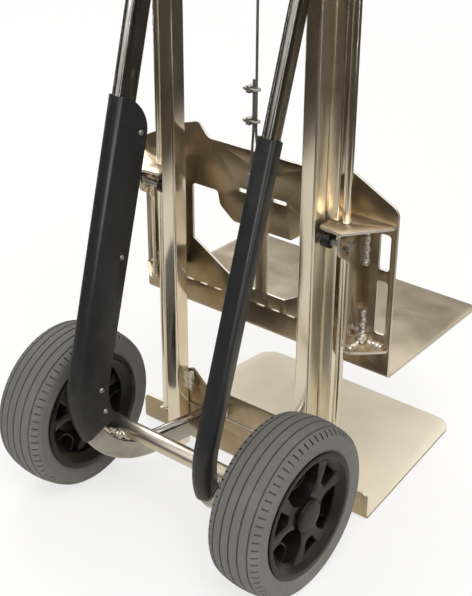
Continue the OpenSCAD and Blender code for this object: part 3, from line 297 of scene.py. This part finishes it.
def start_group(name, inputs, outputs):
    """A new node group with its sockets; gives the group and its two end nodes."""
    group = bpy.data.node_groups.new(name, "ShaderNodeTree")
    for label, kind in inputs:
        group.interface.new_socket(name=label, in_out="INPUT", socket_type=kind)
    for label in outputs:
        group.interface.new_socket(name=label, in_out="OUTPUT", socket_type=VALUE)
    return group, group.nodes.new("NodeGroupInput"), group.nodes.new("NodeGroupOutput")


def use_group(tree, group, **sockets):
    """Adds a group to a tree, sets or feeds its inputs, and gives its outputs."""
    made = tree.nodes.new("ShaderNodeGroup")
    made.node_tree = group
    for name, value in sockets.items():
        if isinstance(value, bpy.types.NodeSocket):
            tree.links.new(value, made.inputs[name])
        else:
            made.inputs[name].default_value = value
    return made.outputs


def place_of(tree):
    """The place on the piece, in metres, from which every pattern is drawn."""
    return add_node(tree, "ShaderNodeTexCoord").outputs["Object"]


# %% [markdown]
# Rolled and polished steel has fine parallel lines, larger cloudy smudges and a few nicks. The
# lines are a noise that is stretched along the grain.

# %% Polish
polish, source, sink = start_group("rolled_polish", [("Place", VECTOR), ("Grain", VECTOR)],
                                   ["Lines", "Smudge", "Nicks"])
place = source.outputs["Place"]
stretched = add_node(polish, "ShaderNodeVectorMath", {"operation": "MULTIPLY"}, i0=place,
                     i1=source.outputs["Grain"])
lines = add_node(polish, "ShaderNodeTexNoise", Vector=stretched.outputs[0], Scale=1.0, Detail=4.0,
                 Roughness=0.6)
cloud = add_node(polish, "ShaderNodeTexNoise", Vector=place, Scale=9.0, Detail=4.0, Roughness=0.55,
                 Distortion=0.6)
specks = add_node(polish, "ShaderNodeTexNoise", Vector=place, Scale=260.0, Detail=1.0)
polish.links.new(lines.outputs["Fac"], sink.inputs["Lines"])
polish.links.new(cloud.outputs["Fac"], sink.inputs["Smudge"])
polish.links.new(span(polish, specks.outputs["Fac"], (0.74, 0.84)), sink.inputs["Nicks"])
print("effect:", polish.name)

# %% [markdown]
# Moulded plastic has a skin of tiny pits and a few pale scuffs, and everything near the floor picks
# up dust: a mask that is full at the floor, gone at its reach, and patchy in between.

# %% Skin and dust
skin, source, sink = start_group("moulded_skin", [("Place", VECTOR)], ["Pits", "Scuff"])
place = source.outputs["Place"]
pits = add_node(skin, "ShaderNodeTexNoise", Vector=place, Scale=900.0, Detail=2.0)
worn = add_node(skin, "ShaderNodeTexNoise", Vector=place, Scale=22.0, Detail=6.0, Roughness=0.7)
skin.links.new(pits.outputs["Fac"], sink.inputs["Pits"])
skin.links.new(span(skin, worn.outputs["Fac"], (0.52, 0.75)), sink.inputs["Scuff"])

dust, source, sink = start_group("floor_dust", [("Place", VECTOR), ("Reach", VALUE)], ["Dust"])
place = source.outputs["Place"]
height = add_node(dust, "ShaderNodeSeparateXYZ", Vector=place).outputs["Z"]
near_floor = span(dust, height, (0.0, source.outputs["Reach"]), (1.0, 0.0))
patch = add_node(dust, "ShaderNodeTexNoise", Vector=place, Scale=30.0, Detail=5.0)
dust.links.new(reckon(dust, "MULTIPLY", near_floor, patch.outputs["Fac"]), sink.inputs["Dust"])
print("effects:", [g.name for g in bpy.data.node_groups])

# %% [markdown]
# ## Finishes
#
# Stainless sheet and tube differ only in which way the rolling lines run: up the masts and rods,
# across the plates. One function makes both, with the direction as its argument. The lines change
# roughness and bump a little, the smudges change colour and roughness, and small nicks are bright.


# %% Stainless recipe
NICK_TONE = (0.92, 0.88, 0.8, 1.0)
LINE_SHARE = 0.6
SMUDGE_FROM, SMUDGE_TO = 0.3, 0.62


def stainless(name, grain, tone, dark, rough, bump=0.02, metal=1.0):
    """Steel with a tone, a darker tone for its smudges and a range of roughness."""
    material, tree, shader = start_material(name, Metallic=metal)
    marks = use_group(tree, polish, Place=place_of(tree), Grain=grain)
    tint = ramp(tree, marks["Smudge"], (SMUDGE_FROM, dark), (SMUDGE_TO, tone))
    lit = add_node(tree, "ShaderNodeMix", {"data_type": "RGBA"}, i0=marks["Nicks"], i6=tint, i7=NICK_TONE)
    tree.links.new(lit.outputs[2], shader.inputs["Base Color"])
    mixed = reckon(tree, "MULTIPLY_ADD", marks["Lines"], LINE_SHARE, marks["Smudge"])
    tree.links.new(span(tree, mixed, target=rough), shader.inputs["Roughness"])
    relief = add_node(tree, "ShaderNodeBump", Strength=bump, Distance=0.001, Height=marks["Lines"])
    tree.links.new(relief.outputs["Normal"], shader.inputs["Normal"])
    return material


# %% [markdown]
# Masts and tubes are polished until they mirror; the tubes' steel is painted darker as painted shade.
# Plates are duller, and their brown tone is a painted reflection of the dark brown room they mirror.
# Their upward faces are painted pale and their cut edges painted bright, both as painted highlights.

# %% Stainless finishes
UP, ACROSS, ALL_WAYS = (900.0, 900.0, 8.0), (8.0, 800.0, 800.0), (300.0, 300.0, 300.0)
mast_steel = stainless("mast_steel", UP, (0.96, 0.90, 0.80), (0.84, 0.76, 0.63), (0.05, 0.18))
# Struts and handles: the same steel painted darker, as painted shade for the dark room they mirror.
shaded_tube_steel = stainless("shaded_tube_steel", UP, (0.52, 0.50, 0.48), (0.30, 0.28, 0.26), (0.06, 0.16))
# Mast sides: rougher satin steel, its tone painted a little paler as a painted sheen.
lit_satin_steel = stainless("lit_satin_steel", UP, (0.99, 0.93, 0.81), (0.88, 0.80, 0.66), (0.20, 0.32))
cross_steel = stainless("cross_steel", ACROSS, (0.80, 0.74, 0.64), (0.60, 0.52, 0.41), (0.14, 0.36))
# Plates: the brown tone is a painted reflection of dark brown surroundings.
painted_brown_plate_steel = stainless("painted_brown_plate_steel", ACROSS, (0.50, 0.41, 0.30), (0.34, 0.27, 0.18), (0.18, 0.40), 0.03)
# Upward faces of the plates: a paler copy, as a painted highlight.
lit_top_steel = stainless("lit_top_steel", ACROSS, (0.84, 0.75, 0.59), (0.66, 0.56, 0.41), (0.20, 0.45), 0.03)
# Upward face of the toe plate: a paler copy, as a painted highlight.
lit_top_pale_steel = stainless("lit_top_pale_steel", ACROSS, (1.0, 0.93, 0.77), (0.95, 0.86, 0.68), (0.25, 0.45), 0.03,
                       metal=0.35)
# Cut edges: a near-white tone, as a painted highlight.
lit_edge_steel = stainless("lit_edge_steel", ALL_WAYS, (0.96, 0.93, 0.88), (0.80, 0.76, 0.70), (0.35, 0.55))
plain_steel = stainless("plain_steel", ALL_WAYS, (0.60, 0.59, 0.57), (0.40, 0.39, 0.37), (0.22, 0.5))
weld_steel = stainless("weld_steel", ALL_WAYS, (0.90, 0.88, 0.84), (0.50, 0.46, 0.40), (0.18, 0.40), 0.3)
wire_rope = stainless("wire_rope", ALL_WAYS, (0.46, 0.45, 0.43), (0.26, 0.25, 0.24), (0.3, 0.55))
print("stainless finishes:", [m.name for m in bpy.data.materials if m.name.endswith("_steel")])

# %% [markdown]
# Moulded plastic and rubber share one recipe too: a base colour that pales where it is scuffed or
# dusty, a satin roughness, and the tiny pits as bump.


# %% Plastic and rubber
def moulded(name, tone, pale, rough, reach, pit=0.08, scuffing=0.35, shine=0.4):
    """Plastic or rubber with a tone, a paler tone where it is worn, and dust up to some height."""
    material, tree, shader = start_material(name, Specular_IOR_Level=shine)
    where = place_of(tree)
    marks = use_group(tree, skin, Place=where)
    grime = use_group(tree, dust, Place=where, Reach=reach)
    faded = reckon(tree, "MULTIPLY_ADD", marks["Scuff"], scuffing, grime["Dust"], clamp=True)
    tint = add_node(tree, "ShaderNodeMix", {"data_type": "RGBA"}, i0=faded, i6=(*tone, 1.0), i7=(*pale, 1.0))
    tree.links.new(tint.outputs[2], shader.inputs["Base Color"])
    tree.links.new(span(tree, faded, target=rough), shader.inputs["Roughness"])
    relief = add_node(tree, "ShaderNodeBump", Strength=pit, Distance=0.0004, Height=marks["Pits"])
    tree.links.new(relief.outputs["Normal"], shader.inputs["Normal"])
    return material


charcoal_cover = moulded("charcoal_cover", (0.018, 0.019, 0.021), (0.06, 0.058, 0.054), (0.34, 0.58), 0.25)
black_rim = moulded("black_rim", (0.009, 0.008, 0.007), (0.042, 0.034, 0.028), (0.30, 0.5), 0.10,
                    pit=0.06, scuffing=0.25, shine=0.3)
grey_rubber = moulded("grey_rubber", (0.136, 0.136, 0.126), (0.22, 0.215, 0.195), (0.7, 0.9), 0.22,
                      pit=0.2, scuffing=0.5)
black_nylon = moulded("black_nylon", (0.012, 0.012, 0.012), (0.05, 0.05, 0.05), (0.35, 0.6), 0.1)
grip_rubber = moulded("grip_rubber", (0.016, 0.016, 0.016), (0.05, 0.05, 0.048), (0.65, 0.85), 0.1, pit=0.25)
print("moulded finishes:", charcoal_cover.name, black_rim.name, grey_rubber.name, grip_rubber.name)

# %% [markdown]
# ## Dressing the solids
#
# Each solid takes one finish. They could be given one by one, but a list that goes by families of
# pieces is shorter, and a missing name shows up at once in the line that the cell prints.

# %% Finish for every solid
families = {
    mast_steel: ["mast_left", "mast_right", "rail_left", "rail_right", "guide_rod_left",
                 "guide_rod_right"],
    shaded_tube_steel: ["strut_left", "strut_right", "handle_left", "handle_right"],
    painted_brown_plate_steel: ["toe_plate", "foot_plate", "carriage_plate", "top_gusset_left", "top_gusset_right",
                  "bottom_gusset_left", "bottom_gusset_right", "side_plate_left", "side_plate_right",
                  "head_plate", "sheave_bracket"],
    cross_steel: ["axle_tube", "axle_collars", "cross_rails"],
    plain_steel: ["axle_shaft", "hub_bushes_left", "hub_bushes_right", "cover_screws", "roller_bolts",
                  "rope_pin", "rope_clips", "rope_eye", "lifting_rope", "rope_lead", "rope_winding",
                  "winch_plates", "winch_spacers", "winch_bolts", "drum", "drum_gear", "pinion",
                  "crank_arm", "sheave_pin"],
    charcoal_cover: ["strut_cover_left", "strut_cover_right"],
    black_rim: ["rim_left", "rim_right", "hub_cap_left", "hub_cap_right"],
    grey_rubber: ["tyre_left", "tyre_right"],
    black_nylon: ["roller_upper_left", "roller_upper_right", "roller_lower_left", "roller_lower_right",
                  "sheave"],
    grip_rubber: ["grip_left", "grip_right", "crank_grip"],
}
for finish, names in families.items():
    for name in names:
        nodes[name].data.materials.clear()
        nodes[name].data.materials.append(finish)
print("undressed:", sorted(set(nodes) - {n for names in families.values() for n in names}))

# %% [markdown]
# The plates take three finishes at once. Painting them by hand would have to be done again after
# every change of the solids, so each face is asked which way it looks: up, it gets a painted
# highlight; along the sheet it belongs to, it is a cut edge with a painted highlight.


# %% Painted highlights on the plates' upward faces and cut edges
FACES, SKEW = 0.7, 0.5
OUTWARD, INWARD = 0.05, -0.1
PAST_SHEET = Vector((0.0, 0.012, 0.012))


def refinish(name, finish, wanted):
    """Gives a finish to the faces of a solid that wanted(place, normal) picks."""
    mesh = nodes[name].data
    mesh.materials.append(finish)
    picked = [face for face in mesh.polygons if wanted(face.center, face.normal)]
    for face in picked:
        face.material_index = len(mesh.materials) - 1
    print(name, finish.name, "faces:", len(picked))


# Faces that look up take the paler copy: a painted highlight.
for name in ("carriage_plate", "top_gusset_left", "top_gusset_right"):
    refinish(name, lit_top_steel, lambda at, look: look.z > FACES)
# The toe plate's upward face takes its own paler copy: a painted highlight.
refinish("toe_plate", lit_top_pale_steel, lambda at, look: look.z > FACES)
# Outboard mast faces take the satin copy with its painted sheen.
for name in ("mast_left", "mast_right"):
    refinish(name, lit_satin_steel, lambda at, look: look.x * at.x > OUTWARD)
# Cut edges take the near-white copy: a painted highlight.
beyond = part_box("carriage_plate")[0] + PAST_SHEET
refinish("carriage_plate", lit_edge_steel, lambda at, look: abs(look.x) > FACES
         or (at.z > beyond.z and abs(look.y) < SKEW) or (at.y > beyond.y and abs(look.z) < SKEW))
for side in ("left", "right"):
    refinish("top_gusset_" + side, lit_edge_steel, lambda at, look: abs(look.z) < SKEW)
    refinish("bottom_gusset_" + side, lit_edge_steel, lambda at, look: abs(look.z) < SKEW)
    refinish("side_plate_" + side, lit_edge_steel, lambda at, look: abs(look.x) < SKEW)
    # Inboard faces of the side plates are painted bright so that the masts mirror a pale face: a painted
    # reflection.
    refinish("side_plate_" + side, mast_steel, lambda at, look: look.x * at.x < INWARD)

# %% [markdown]
# ## Making pieces
#
# New pieces are drawn in world metres with their object left at the origin, as the solids are, so
# that patterns on Object coordinates keep their place. One helper closes a bmesh into an object:
# it merges doubles, turns the faces outwards, smooths the shading except over sharp edges, and
# lets the object ride on a body.


# %% Helper that closes a piece
def close_piece(name, edit, finish, body, sharp=35.0):
    """Turns a bmesh into a finished object that rides on a body, if one is named."""
    bmesh.ops.remove_doubles(edit, verts=edit.verts[:], dist=1e-6)
    bmesh.ops.recalc_face_normals(edit, faces=edit.faces[:])
    mesh = bpy.data.meshes.new(name)
    edit.to_mesh(mesh)
    edit.free()
    for face in mesh.polygons:
        face.use_smooth = True
    mesh.set_sharp_from_angle(angle=math.radians(sharp))
    mesh.materials.append(finish)
    piece = bpy.data.objects.new(name, mesh)
    scene.collection.objects.link(piece)
    if body:
        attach(piece, body)
    print(name, "faces:", len(mesh.polygons))
    return piece


# %% [markdown]
# ## Tyres
#
# The tyres are grey solid rubber with round grooves and a row of short cuts on each shoulder. Their
# section is one line from rim to rim. Half of it is written down, as places across the tread with
# how far they lie under its crown, and the other half is its mirror image.

# %% Tyre section
low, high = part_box("tyre_right")
axle = (low + high) / 2
tyre_r = (high.z - low.z) / 2
tyre_half = (high.x - low.x) / 2
rim_low, rim_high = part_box("rim_right")
lip_r = (rim_high.z - rim_low.z) / 2

GROOVE_HALF, GROOVE_FLOOR, GROOVE_D = 0.0013, 0.0011, 0.0032
GROOVES = (0.0144, 0.0288)
CROWN = 0.005
tread = tyre_half - 0.007
SHOULDER = ((0.0338, 0.0046), (0.0372, 0.0058), (0.0400, 0.0082), (0.0420, 0.0112), (0.0430, 0.0150),
            (0.0430, 0.0215), (0.0424, 0.0270), (0.0427, 0.0280), (0.0420, 0.0310))
BEAD = ((0.0400, 0.0012), (0.0386, 0.0002), (0.0384, -0.004))

dips = [(GROOVE_HALF, GROOVE_D), (GROOVE_HALF, 0.0)]
for groove in GROOVES:
    dips += [(groove - GROOVE_HALF, 0.0), (groove - GROOVE_FLOOR, GROOVE_D),
             (groove + GROOVE_FLOOR, GROOVE_D), (groove + GROOVE_HALF, 0.0)]
half_line = [(x, tyre_r - CROWN * (x / tread) ** 2 - dip) for x, dip in dips]
half_line += [(x, tyre_r - drop) for x, drop in SHOULDER] + [(x, lip_r + over) for x, over in BEAD]
section = [(-x, r) for x, r in reversed(half_line)] + half_line
print("tyre radius", round(tyre_r, 4), "section points", len(section))

# %% [markdown]
# A boolean for every cut would be slow and leave poor faces. Instead one pitch of the tread is
# made: the section is spun through narrow strips and wide ones, the shoulder faces of the narrow
# strips are pushed in, and the pitch is copied round the wheel with a duplicating spin. Each strip
# has its share of the pitch, its steps, and the depth and the reach across of its cut.

# %% Tread pitch
PITCHES = 66
step = 2 * math.pi / PITCHES
NO_CUT = (0.0, 0.0)
STRIPS = ((0.20, 1, 0.0034, (0.0334, 0.0424)), (0.32, 2, 0.0, NO_CUT),
          (0.15, 1, 0.0028, (0.0380, 0.0432)), (0.33, 2, 0.0, NO_CUT))
CUT_LOW, CUT_LIP = 0.016, 0.0002
AXIS = (1, 0, 0)


def in_cut(place, side, reach):
    """Whether a place, measured from the wheel's centre, lies in a cut with that reach across."""
    return reach[0] < side * place.x < reach[1] and place.yz.length > tyre_r - CUT_LOW


def push_in(edit, faces, centre, depth):
    """Sinks some faces towards the axle by a depth."""
    bmesh.ops.inset_region(edit, faces=faces, thickness=CUT_LIP)
    inward = (centre - faces[0].calc_center_median()).yz.normalized()
    sunk = {v for f in faces for v in f.verts}
    bmesh.ops.translate(edit, verts=list(sunk), vec=Vector((0, *inward)) * depth)


# %% Tyres
def make_tyre(name, centre, body):
    """One tyre round a centre: a pitch of the tread, copied round the wheel."""
    edit = bmesh.new()
    ring = [edit.verts.new(centre + Vector((x, 0.0, r))) for x, r in section]
    edges = [edit.edges.new((a, b)) for a, b in zip(ring, ring[1:])]
    cuts = []
    for share, steps, depth, reach in STRIPS:
        made = bmesh.ops.spin(edit, geom=edges, cent=centre, axis=AXIS, angle=step * share, steps=steps,
                              use_merge=False, use_duplicate=False)
        fresh = [f for f in edit.faces if not f.tag]
        for face in fresh:
            face.tag = True
        for side in (-1, 1):
            cuts.append((depth, [f for f in fresh if in_cut(f.calc_center_median() - centre, side, reach)]))
        edges = [e for e in made["geom_last"] if isinstance(e, bmesh.types.BMEdge)]
    for depth, faces in cuts:
        if faces:
            push_in(edit, faces, centre, depth)
    whole = edit.verts[:] + edit.edges[:] + edit.faces[:]
    bmesh.ops.spin(edit, geom=whole, cent=centre, axis=AXIS, angle=step * (PITCHES - 1), steps=PITCHES - 1,
                   use_duplicate=True, use_merge=False)
    return close_piece(name, edit, grey_rubber, body)


for side, sign in (("left", -1), ("right", 1)):
    tyre = make_tyre("tread_tyre_" + side, Vector((sign * axle.x, axle.y, axle.z)), "wheel_" + side)
    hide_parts("tyre_" + side)

# %% [markdown]
# ## Sweeping a section
#
# Rope and weld seams are both tubes along a path whose radius changes as it goes: a rope has one
# lobe a strand that turns as it is laid, and a seam has ripples. A curve object with a bevel could
# only have a constant section, so the tube is built ring by ring, with each ring turned on from the
# one before so that it never twists by itself.


# %% Helpers for paths and tubes
def smooth_path(points, pace):
    """A path through the points, rounded at the corners, with about one point a pace."""
    points = [Vector(p) for p in points]
    path = [points[0]]
    for i, (start, end) in enumerate(zip(points, points[1:])):
        before, after = points[max(i - 1, 0)], points[min(i + 2, len(points) - 1)]
        leave, arrive = start + (end - before) / 6, end - (after - start) / 6
        count = max(2, round((end - start).length / pace) + 1)
        path += geometry.interpolate_bezier(start, leave, arrive, end, count)[1:]
    return path


def sweep(edit, path, radius_at, sides):
    """Adds a closed tube along a path; radius_at(distance, angle) gives its radius."""
    along = [(b - a).normalized() for a, b in zip(path, path[1:])]
    along.append(along[-1])
    side = along[0].orthogonal().normalized()
    angles = [2 * math.pi * k / sides for k in range(sides)]
    distance, rings = 0.0, []
    for i, point in enumerate(path):
        if i:
            distance += (point - path[i - 1]).length
            side.rotate(along[i - 1].rotation_difference(along[i]))
        other = along[i].cross(side)
        spokes = [radius_at(distance, a) * (math.cos(a) * side + math.sin(a) * other) for a in angles]
        rings.append([edit.verts.new(point + spoke) for spoke in spokes])
    for ring, following in zip(rings, rings[1:]):
        for k in range(sides):
            edit.faces.new((ring[k], ring[k - 1], following[k - 1], following[k]))
    edit.faces.new(rings[0])
    edit.faces.new(rings[-1])


# %% [markdown]
# ## Rope
#
# The wire rope has six strands. Six wound tubes would be the true make-up, but they cost six times
# the faces and look the same from a step away, so the strands are lobes of one section. The rope is
# made in four lengths that follow the four solids: the eye round the carriage's pin, the run up to
# the sheave, the lead over the sheave and down, and the turns on the drum.


# %% Rope recipe
run_low, run_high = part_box("lifting_rope")
ROPE_R = (run_high.x - run_low.x) / 2
ROPE_Y = (run_low.y + run_high.y) / 2
STRANDS, LAY, PACE, ROPE_SIDES = 6, 0.028, 0.0012, 24
LOBE = 0.08


def laid(distance, angle):
    """Radius of a rope whose strands turn once round it in one lay."""
    return ROPE_R * (1 - LOBE + LOBE * math.cos(STRANDS * (angle - 2 * math.pi * distance / LAY)))


def make_rope(name, points, body, node):
    """A length of rope through the points, shown instead of its solid."""
    edit = bmesh.new()
    sweep(edit, smooth_path(points, PACE), laid, ROPE_SIDES)
    piece = close_piece(name, edit, wire_rope, body, 60.0)
    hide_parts(node)
    return piece


# %% [markdown]
# The run gets shorter as the carriage rises; here it is one straight length that rides on no body.
# The eye rides on the carriage: it comes down to the pin, turns round it and goes back up beside
# itself through both clips. Its points are places across and heights over the pin.

# %% Run and eye
run_top, run_foot = (0.0, ROPE_Y, run_high.z), (0.0, ROPE_Y, run_low.z)
run = make_rope("rope_run", [run_top, run_foot], None, "lifting_rope")
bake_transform(run)

pin_low, pin_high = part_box("rope_pin")
pin_z = (pin_low.z + pin_high.z) / 2
end_up = run_low.z - pin_z
EYE_R, TAIL_X = 0.0086, -0.0048
going_down = [(0.0, end_up), (0.0, 0.135), (0.0, 0.088), (0.0, 0.075), (0.0012, 0.060), (0.0038, 0.042),
              (0.0066, 0.024)]
round_pin = [math.radians(a) for a in range(10, -191, -20)]
turned = [(EYE_R * math.cos(a), EYE_R * math.sin(a)) for a in round_pin]
going_up = [(-0.0080, 0.024), (-0.0068, 0.042), (-0.0056, 0.060), (TAIL_X, 0.075), (TAIL_X, 0.088),
            (TAIL_X, 0.135), (TAIL_X, end_up)]
loop = [(x, ROPE_Y, pin_z + up) for x, up in going_down + turned + going_up]
make_rope("rope_loop", loop, "carriage", "rope_eye")

# %% [markdown]
# The lead lies half round the sheave and hangs down to the drum, and the turns are a helix with a
# short straight end on each side. Both take their radius from the box of their solid.

# %% Lead and turns
lead_low, lead_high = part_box("rope_lead")
sheave_r = (lead_high.y - lead_low.y) / 2 - ROPE_R
sheave_y = (lead_high.y + lead_low.y) / 2
HALF_STEPS = 18
half_turn = [math.pi * k / HALF_STEPS for k in range(HALF_STEPS + 1)]
over = [(0.0, sheave_y + sheave_r * math.cos(a), run_high.z + sheave_r * math.sin(a)) for a in half_turn]
make_rope("rope_over_sheave", over + [(0.0, sheave_y - sheave_r, lead_low.z)], "frame", "rope_lead")

coil_low, coil_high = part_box("rope_winding")
coil_r = (coil_high.x - coil_low.x) / 2 - ROPE_R
coil_x = (coil_high.x + coil_low.x) / 2
coil_z = (coil_high.z + coil_low.z) / 2
first_y, last_y = coil_high.y - ROPE_R, coil_low.y + ROPE_R
LOOPS, LOOP_STEPS = 4, 24
coil = [(coil_x + coil_r, first_y, coil_z - 2 * ROPE_R)]
for i in range(LOOPS * LOOP_STEPS + 1):
    a = 2 * math.pi * i / LOOP_STEPS
    coil.append((coil_x + coil_r * math.cos(a), first_y + (last_y - first_y) * i / (LOOPS * LOOP_STEPS),
                 coil_z + coil_r * math.sin(a)))
coil.append((coil_x + coil_r, last_y, coil_z + 2 * ROPE_R))
make_rope("rope_turns", coil, "drum", "rope_winding")

# %% [markdown]
# ## Weld seams
#
# The masts, plates and tubes are welded, and the photograph shows lumpy bright beads in the
# corners. A bump map could only hint at them, because they stand out by half their width. Each is a
# short tube half sunk in the corner, with a ripple for every step of the torch. All seams of one
# body make one piece.


# %% Weld recipe
CORE, SWELL, LUMP = 0.76, 0.14, 0.10
TORCH_STEP, LUMPS_ROUND, LUMPS_ALONG = 0.9, 3, 400
SEAM_PACE, SEAM_SIDES = 0.0009, 10


def bead(radius):
    """The radius of a bead as sweep asks for it: a ripple for each step of the torch, and lumps."""
    def ripple(distance, angle):
        swell = abs(math.sin(math.pi * distance / (TORCH_STEP * radius)))
        lump = math.sin(LUMPS_ROUND * angle + LUMPS_ALONG * distance)
        return radius * (CORE + SWELL * swell + LUMP * lump)
    return ripple


def make_seams(name, right_seams, middle_seams, body):
    """One piece with the seams of the right side, their mirror images, and those in the middle."""
    edit = bmesh.new()
    seams = list(middle_seams)
    for path, radius in right_seams:
        seams += [(path, radius), ([(-x, y, z) for x, y, z in path], radius)]
    for path, radius in seams:
        sweep(edit, smooth_path(path, SEAM_PACE), bead(radius), SEAM_SIDES)
    return close_piece(name, edit, weld_steel, body, 60.0)


# %% [markdown]
# Three forms of seam are enough: a straight one, an upright one, and an oval round a tube's end.


# %% Seam paths
def line(start, end):
    """A straight seam with a point in its middle."""
    return [start, tuple((a + b) / 2 for a, b in zip(start, end)), end]


def upright(x, y, foot, top):
    """A straight seam that stands upright."""
    return line((x, y, foot), (x, y, top))


def oval_seam(centre, across, up, count=24):
    """A closed seam round a centre; across and up are the oval's half axes."""
    turns = [2 * math.pi * k / count for k in range(count + 1)]
    return [tuple(Vector(centre) + math.cos(a) * Vector(across) + math.sin(a) * Vector(up)) for a in turns]


# %% [markdown]
# The strut is welded to the axle tube where the tube sits in its bend: one seam runs round the joint
# on the tube, and two beads lie across the bend. All three are found from the angle at which the
# two tubes touch.


# %% Seams between axle and strut
tube_low, tube_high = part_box("axle_tube")
tube_r = (tube_high.z - tube_low.z) / 2
tube_y, tube_z = (tube_low.y + tube_high.y) / 2, (tube_low.z + tube_high.z) / 2
STRUT_X, BEND_R, SEAT_A = 0.098, 0.0983, math.radians(237.5)
JOINT_HALF, JOINT_SWING, BEAD_HALF = 0.0115, 0.85, 0.009
JOINT_STEPS = 24

on_axle = []
for k in range(JOINT_STEPS + 1):
    a = 2 * math.pi * k / JOINT_STEPS
    round_tube = SEAT_A + JOINT_SWING * math.sin(a)
    on_axle.append((STRUT_X + JOINT_HALF * math.cos(a), tube_y + tube_r * math.cos(round_tube),
                    tube_z + tube_r * math.sin(round_tube)))


def on_bend(turned_back):
    """A bead across the strut's bend, some degrees back from where the axle tube sits in it."""
    a = SEAT_A - math.radians(turned_back)
    y = tube_y + (tube_r - BEND_R) * math.cos(SEAT_A) + BEND_R * math.cos(a)
    z = tube_z + (tube_r - BEND_R) * math.sin(SEAT_A) + BEND_R * math.sin(a)
    return line((STRUT_X - BEAD_HALF, y, z), (STRUT_X + BEAD_HALF, y, z))


print("seam round the axle:", len(on_axle), "points")

# %% [markdown]
# The other seams of the frame sit in the corners of the masts with the foot, the rods, the handles
# and the cross rails. Their places come from the boxes of the solids, so they follow them. Each row
# is a path and the radius of its bead.

# %% Seams of the frame
mast_low, mast_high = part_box("mast_right")
foot_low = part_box("foot_plate")[0]
rod_low, rod_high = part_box("guide_rod_right")
rod_x, rod_y = (rod_low.x + rod_high.x) / 2, (rod_low.y + rod_high.y) / 2
rod_r = (rod_high.x - rod_low.x) / 2
handle_low, handle_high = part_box("handle_right")
handle_x, handle_z = (handle_low.x + handle_high.x) / 2, handle_low.z
bars_low, bars_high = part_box("cross_rails")
BAR_H, FOOT_SEAM = 0.030, 0.136
MARGIN, HANDLE_SEAM, HANDLE_SIDE = 0.002, 0.1, 0.006

right_frame = [
    (upright(mast_low.x - 0.002, mast_high.y + 0.001, 0.110, 0.140), 0.0062),
    (on_axle, 0.0044),
    (on_bend(8.5), 0.0066),
    (on_bend(14.0), 0.0050),
    (oval_seam((rod_x, rod_y, rod_low.z), (rod_r, 0, 0), (0, rod_r, 0)), 0.0022),
    (oval_seam((0.0556, foot_low.y, 0.085), (0.0092, 0, 0), (0, 0, 0.0190)), 0.0026),
    (upright(handle_x + HANDLE_SIDE, mast_low.y, handle_z + MARGIN, handle_z + HANDLE_SEAM), 0.0026),
    (upright(handle_x - HANDLE_SIDE, mast_low.y, handle_z + MARGIN, handle_z + HANDLE_SEAM), 0.0026),
]
for bar_z in (bars_low.z, bars_high.z - BAR_H):
    beside_bar = upright(mast_low.x - 0.0008, bars_low.y, bar_z + MARGIN, bar_z + BAR_H - MARGIN)
    right_frame.append((beside_bar, 0.0024))
foot_edge = line((-FOOT_SEAM, foot_low.y, foot_low.z), (FOOT_SEAM, foot_low.y, foot_low.z))
make_seams("frame_welds", right_frame, [(foot_edge, 0.0013)], "frame")

# %% [markdown]
# The carriage's corner is the boldest: one bead comes down from the top gusset, and three meet on
# the bottom gusset in a lump.

# %% Seams of the carriage
side_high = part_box("side_plate_right")[1]
gusset_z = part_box("top_gusset_right")[0].z
shelf_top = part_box("bottom_gusset_right")[0].z + 0.004
corner, back = side_high.x + 0.002, side_high.y - 0.002
on_shelf = shelf_top + 0.001
right_carriage = [
    (upright(corner, back, gusset_z - 0.066, gusset_z - 0.004), 0.0076),
    (upright(corner, back, shelf_top + 0.010, shelf_top + 0.054), 0.0074),
    (upright(corner + 0.001, back - 0.001, shelf_top, shelf_top + 0.010), 0.0098),
    (line((corner + 0.012, back, on_shelf), (corner + 0.036, back, on_shelf)), 0.0066),
    (line((corner, back - 0.036, on_shelf), (corner, back - 0.012, on_shelf)), 0.0066),
]
make_seams("carriage_welds", right_carriage, [], "carriage")

# %% [markdown]
# ## Softened edges
#
# Real edges are never quite sharp: cut sheet is deburred and mouldings have a small radius, and
# both catch the light. Rounding them in the solids would make those heavy. The solids come as loose
# triangles, so a Weld modifier joins them first and a Bevel modifier then rounds only the edges
# that turn by more than the limit.


# %% Softened edges
JOIN, TURN = 0.00001, math.radians(40.0)
EDGE_WIDTHS = {painted_brown_plate_steel: 0.0007, mast_steel: 0.0007, shaded_tube_steel: 0.0007, cross_steel: 0.0006,
               charcoal_cover: 0.0009, black_rim: 0.0010}


def soften(name, width):
    """Rounds the sharp edges of a solid by a width."""
    solid = nodes[name]
    joined = solid.modifiers.new("joined", "WELD")
    joined.merge_threshold = JOIN
    rounded = solid.modifiers.new("rounded", "BEVEL")
    rounded.width = width
    rounded.segments = 2
    rounded.limit_method = "ANGLE"
    rounded.angle_limit = TURN
    rounded.harden_normals = True
    for face in solid.data.polygons:
        face.use_smooth = True


for finish, width in EDGE_WIDTHS.items():
    for name in families[finish]:
        soften(name, width)
print("softened:", sum(len(families[f]) for f in EDGE_WIDTHS))
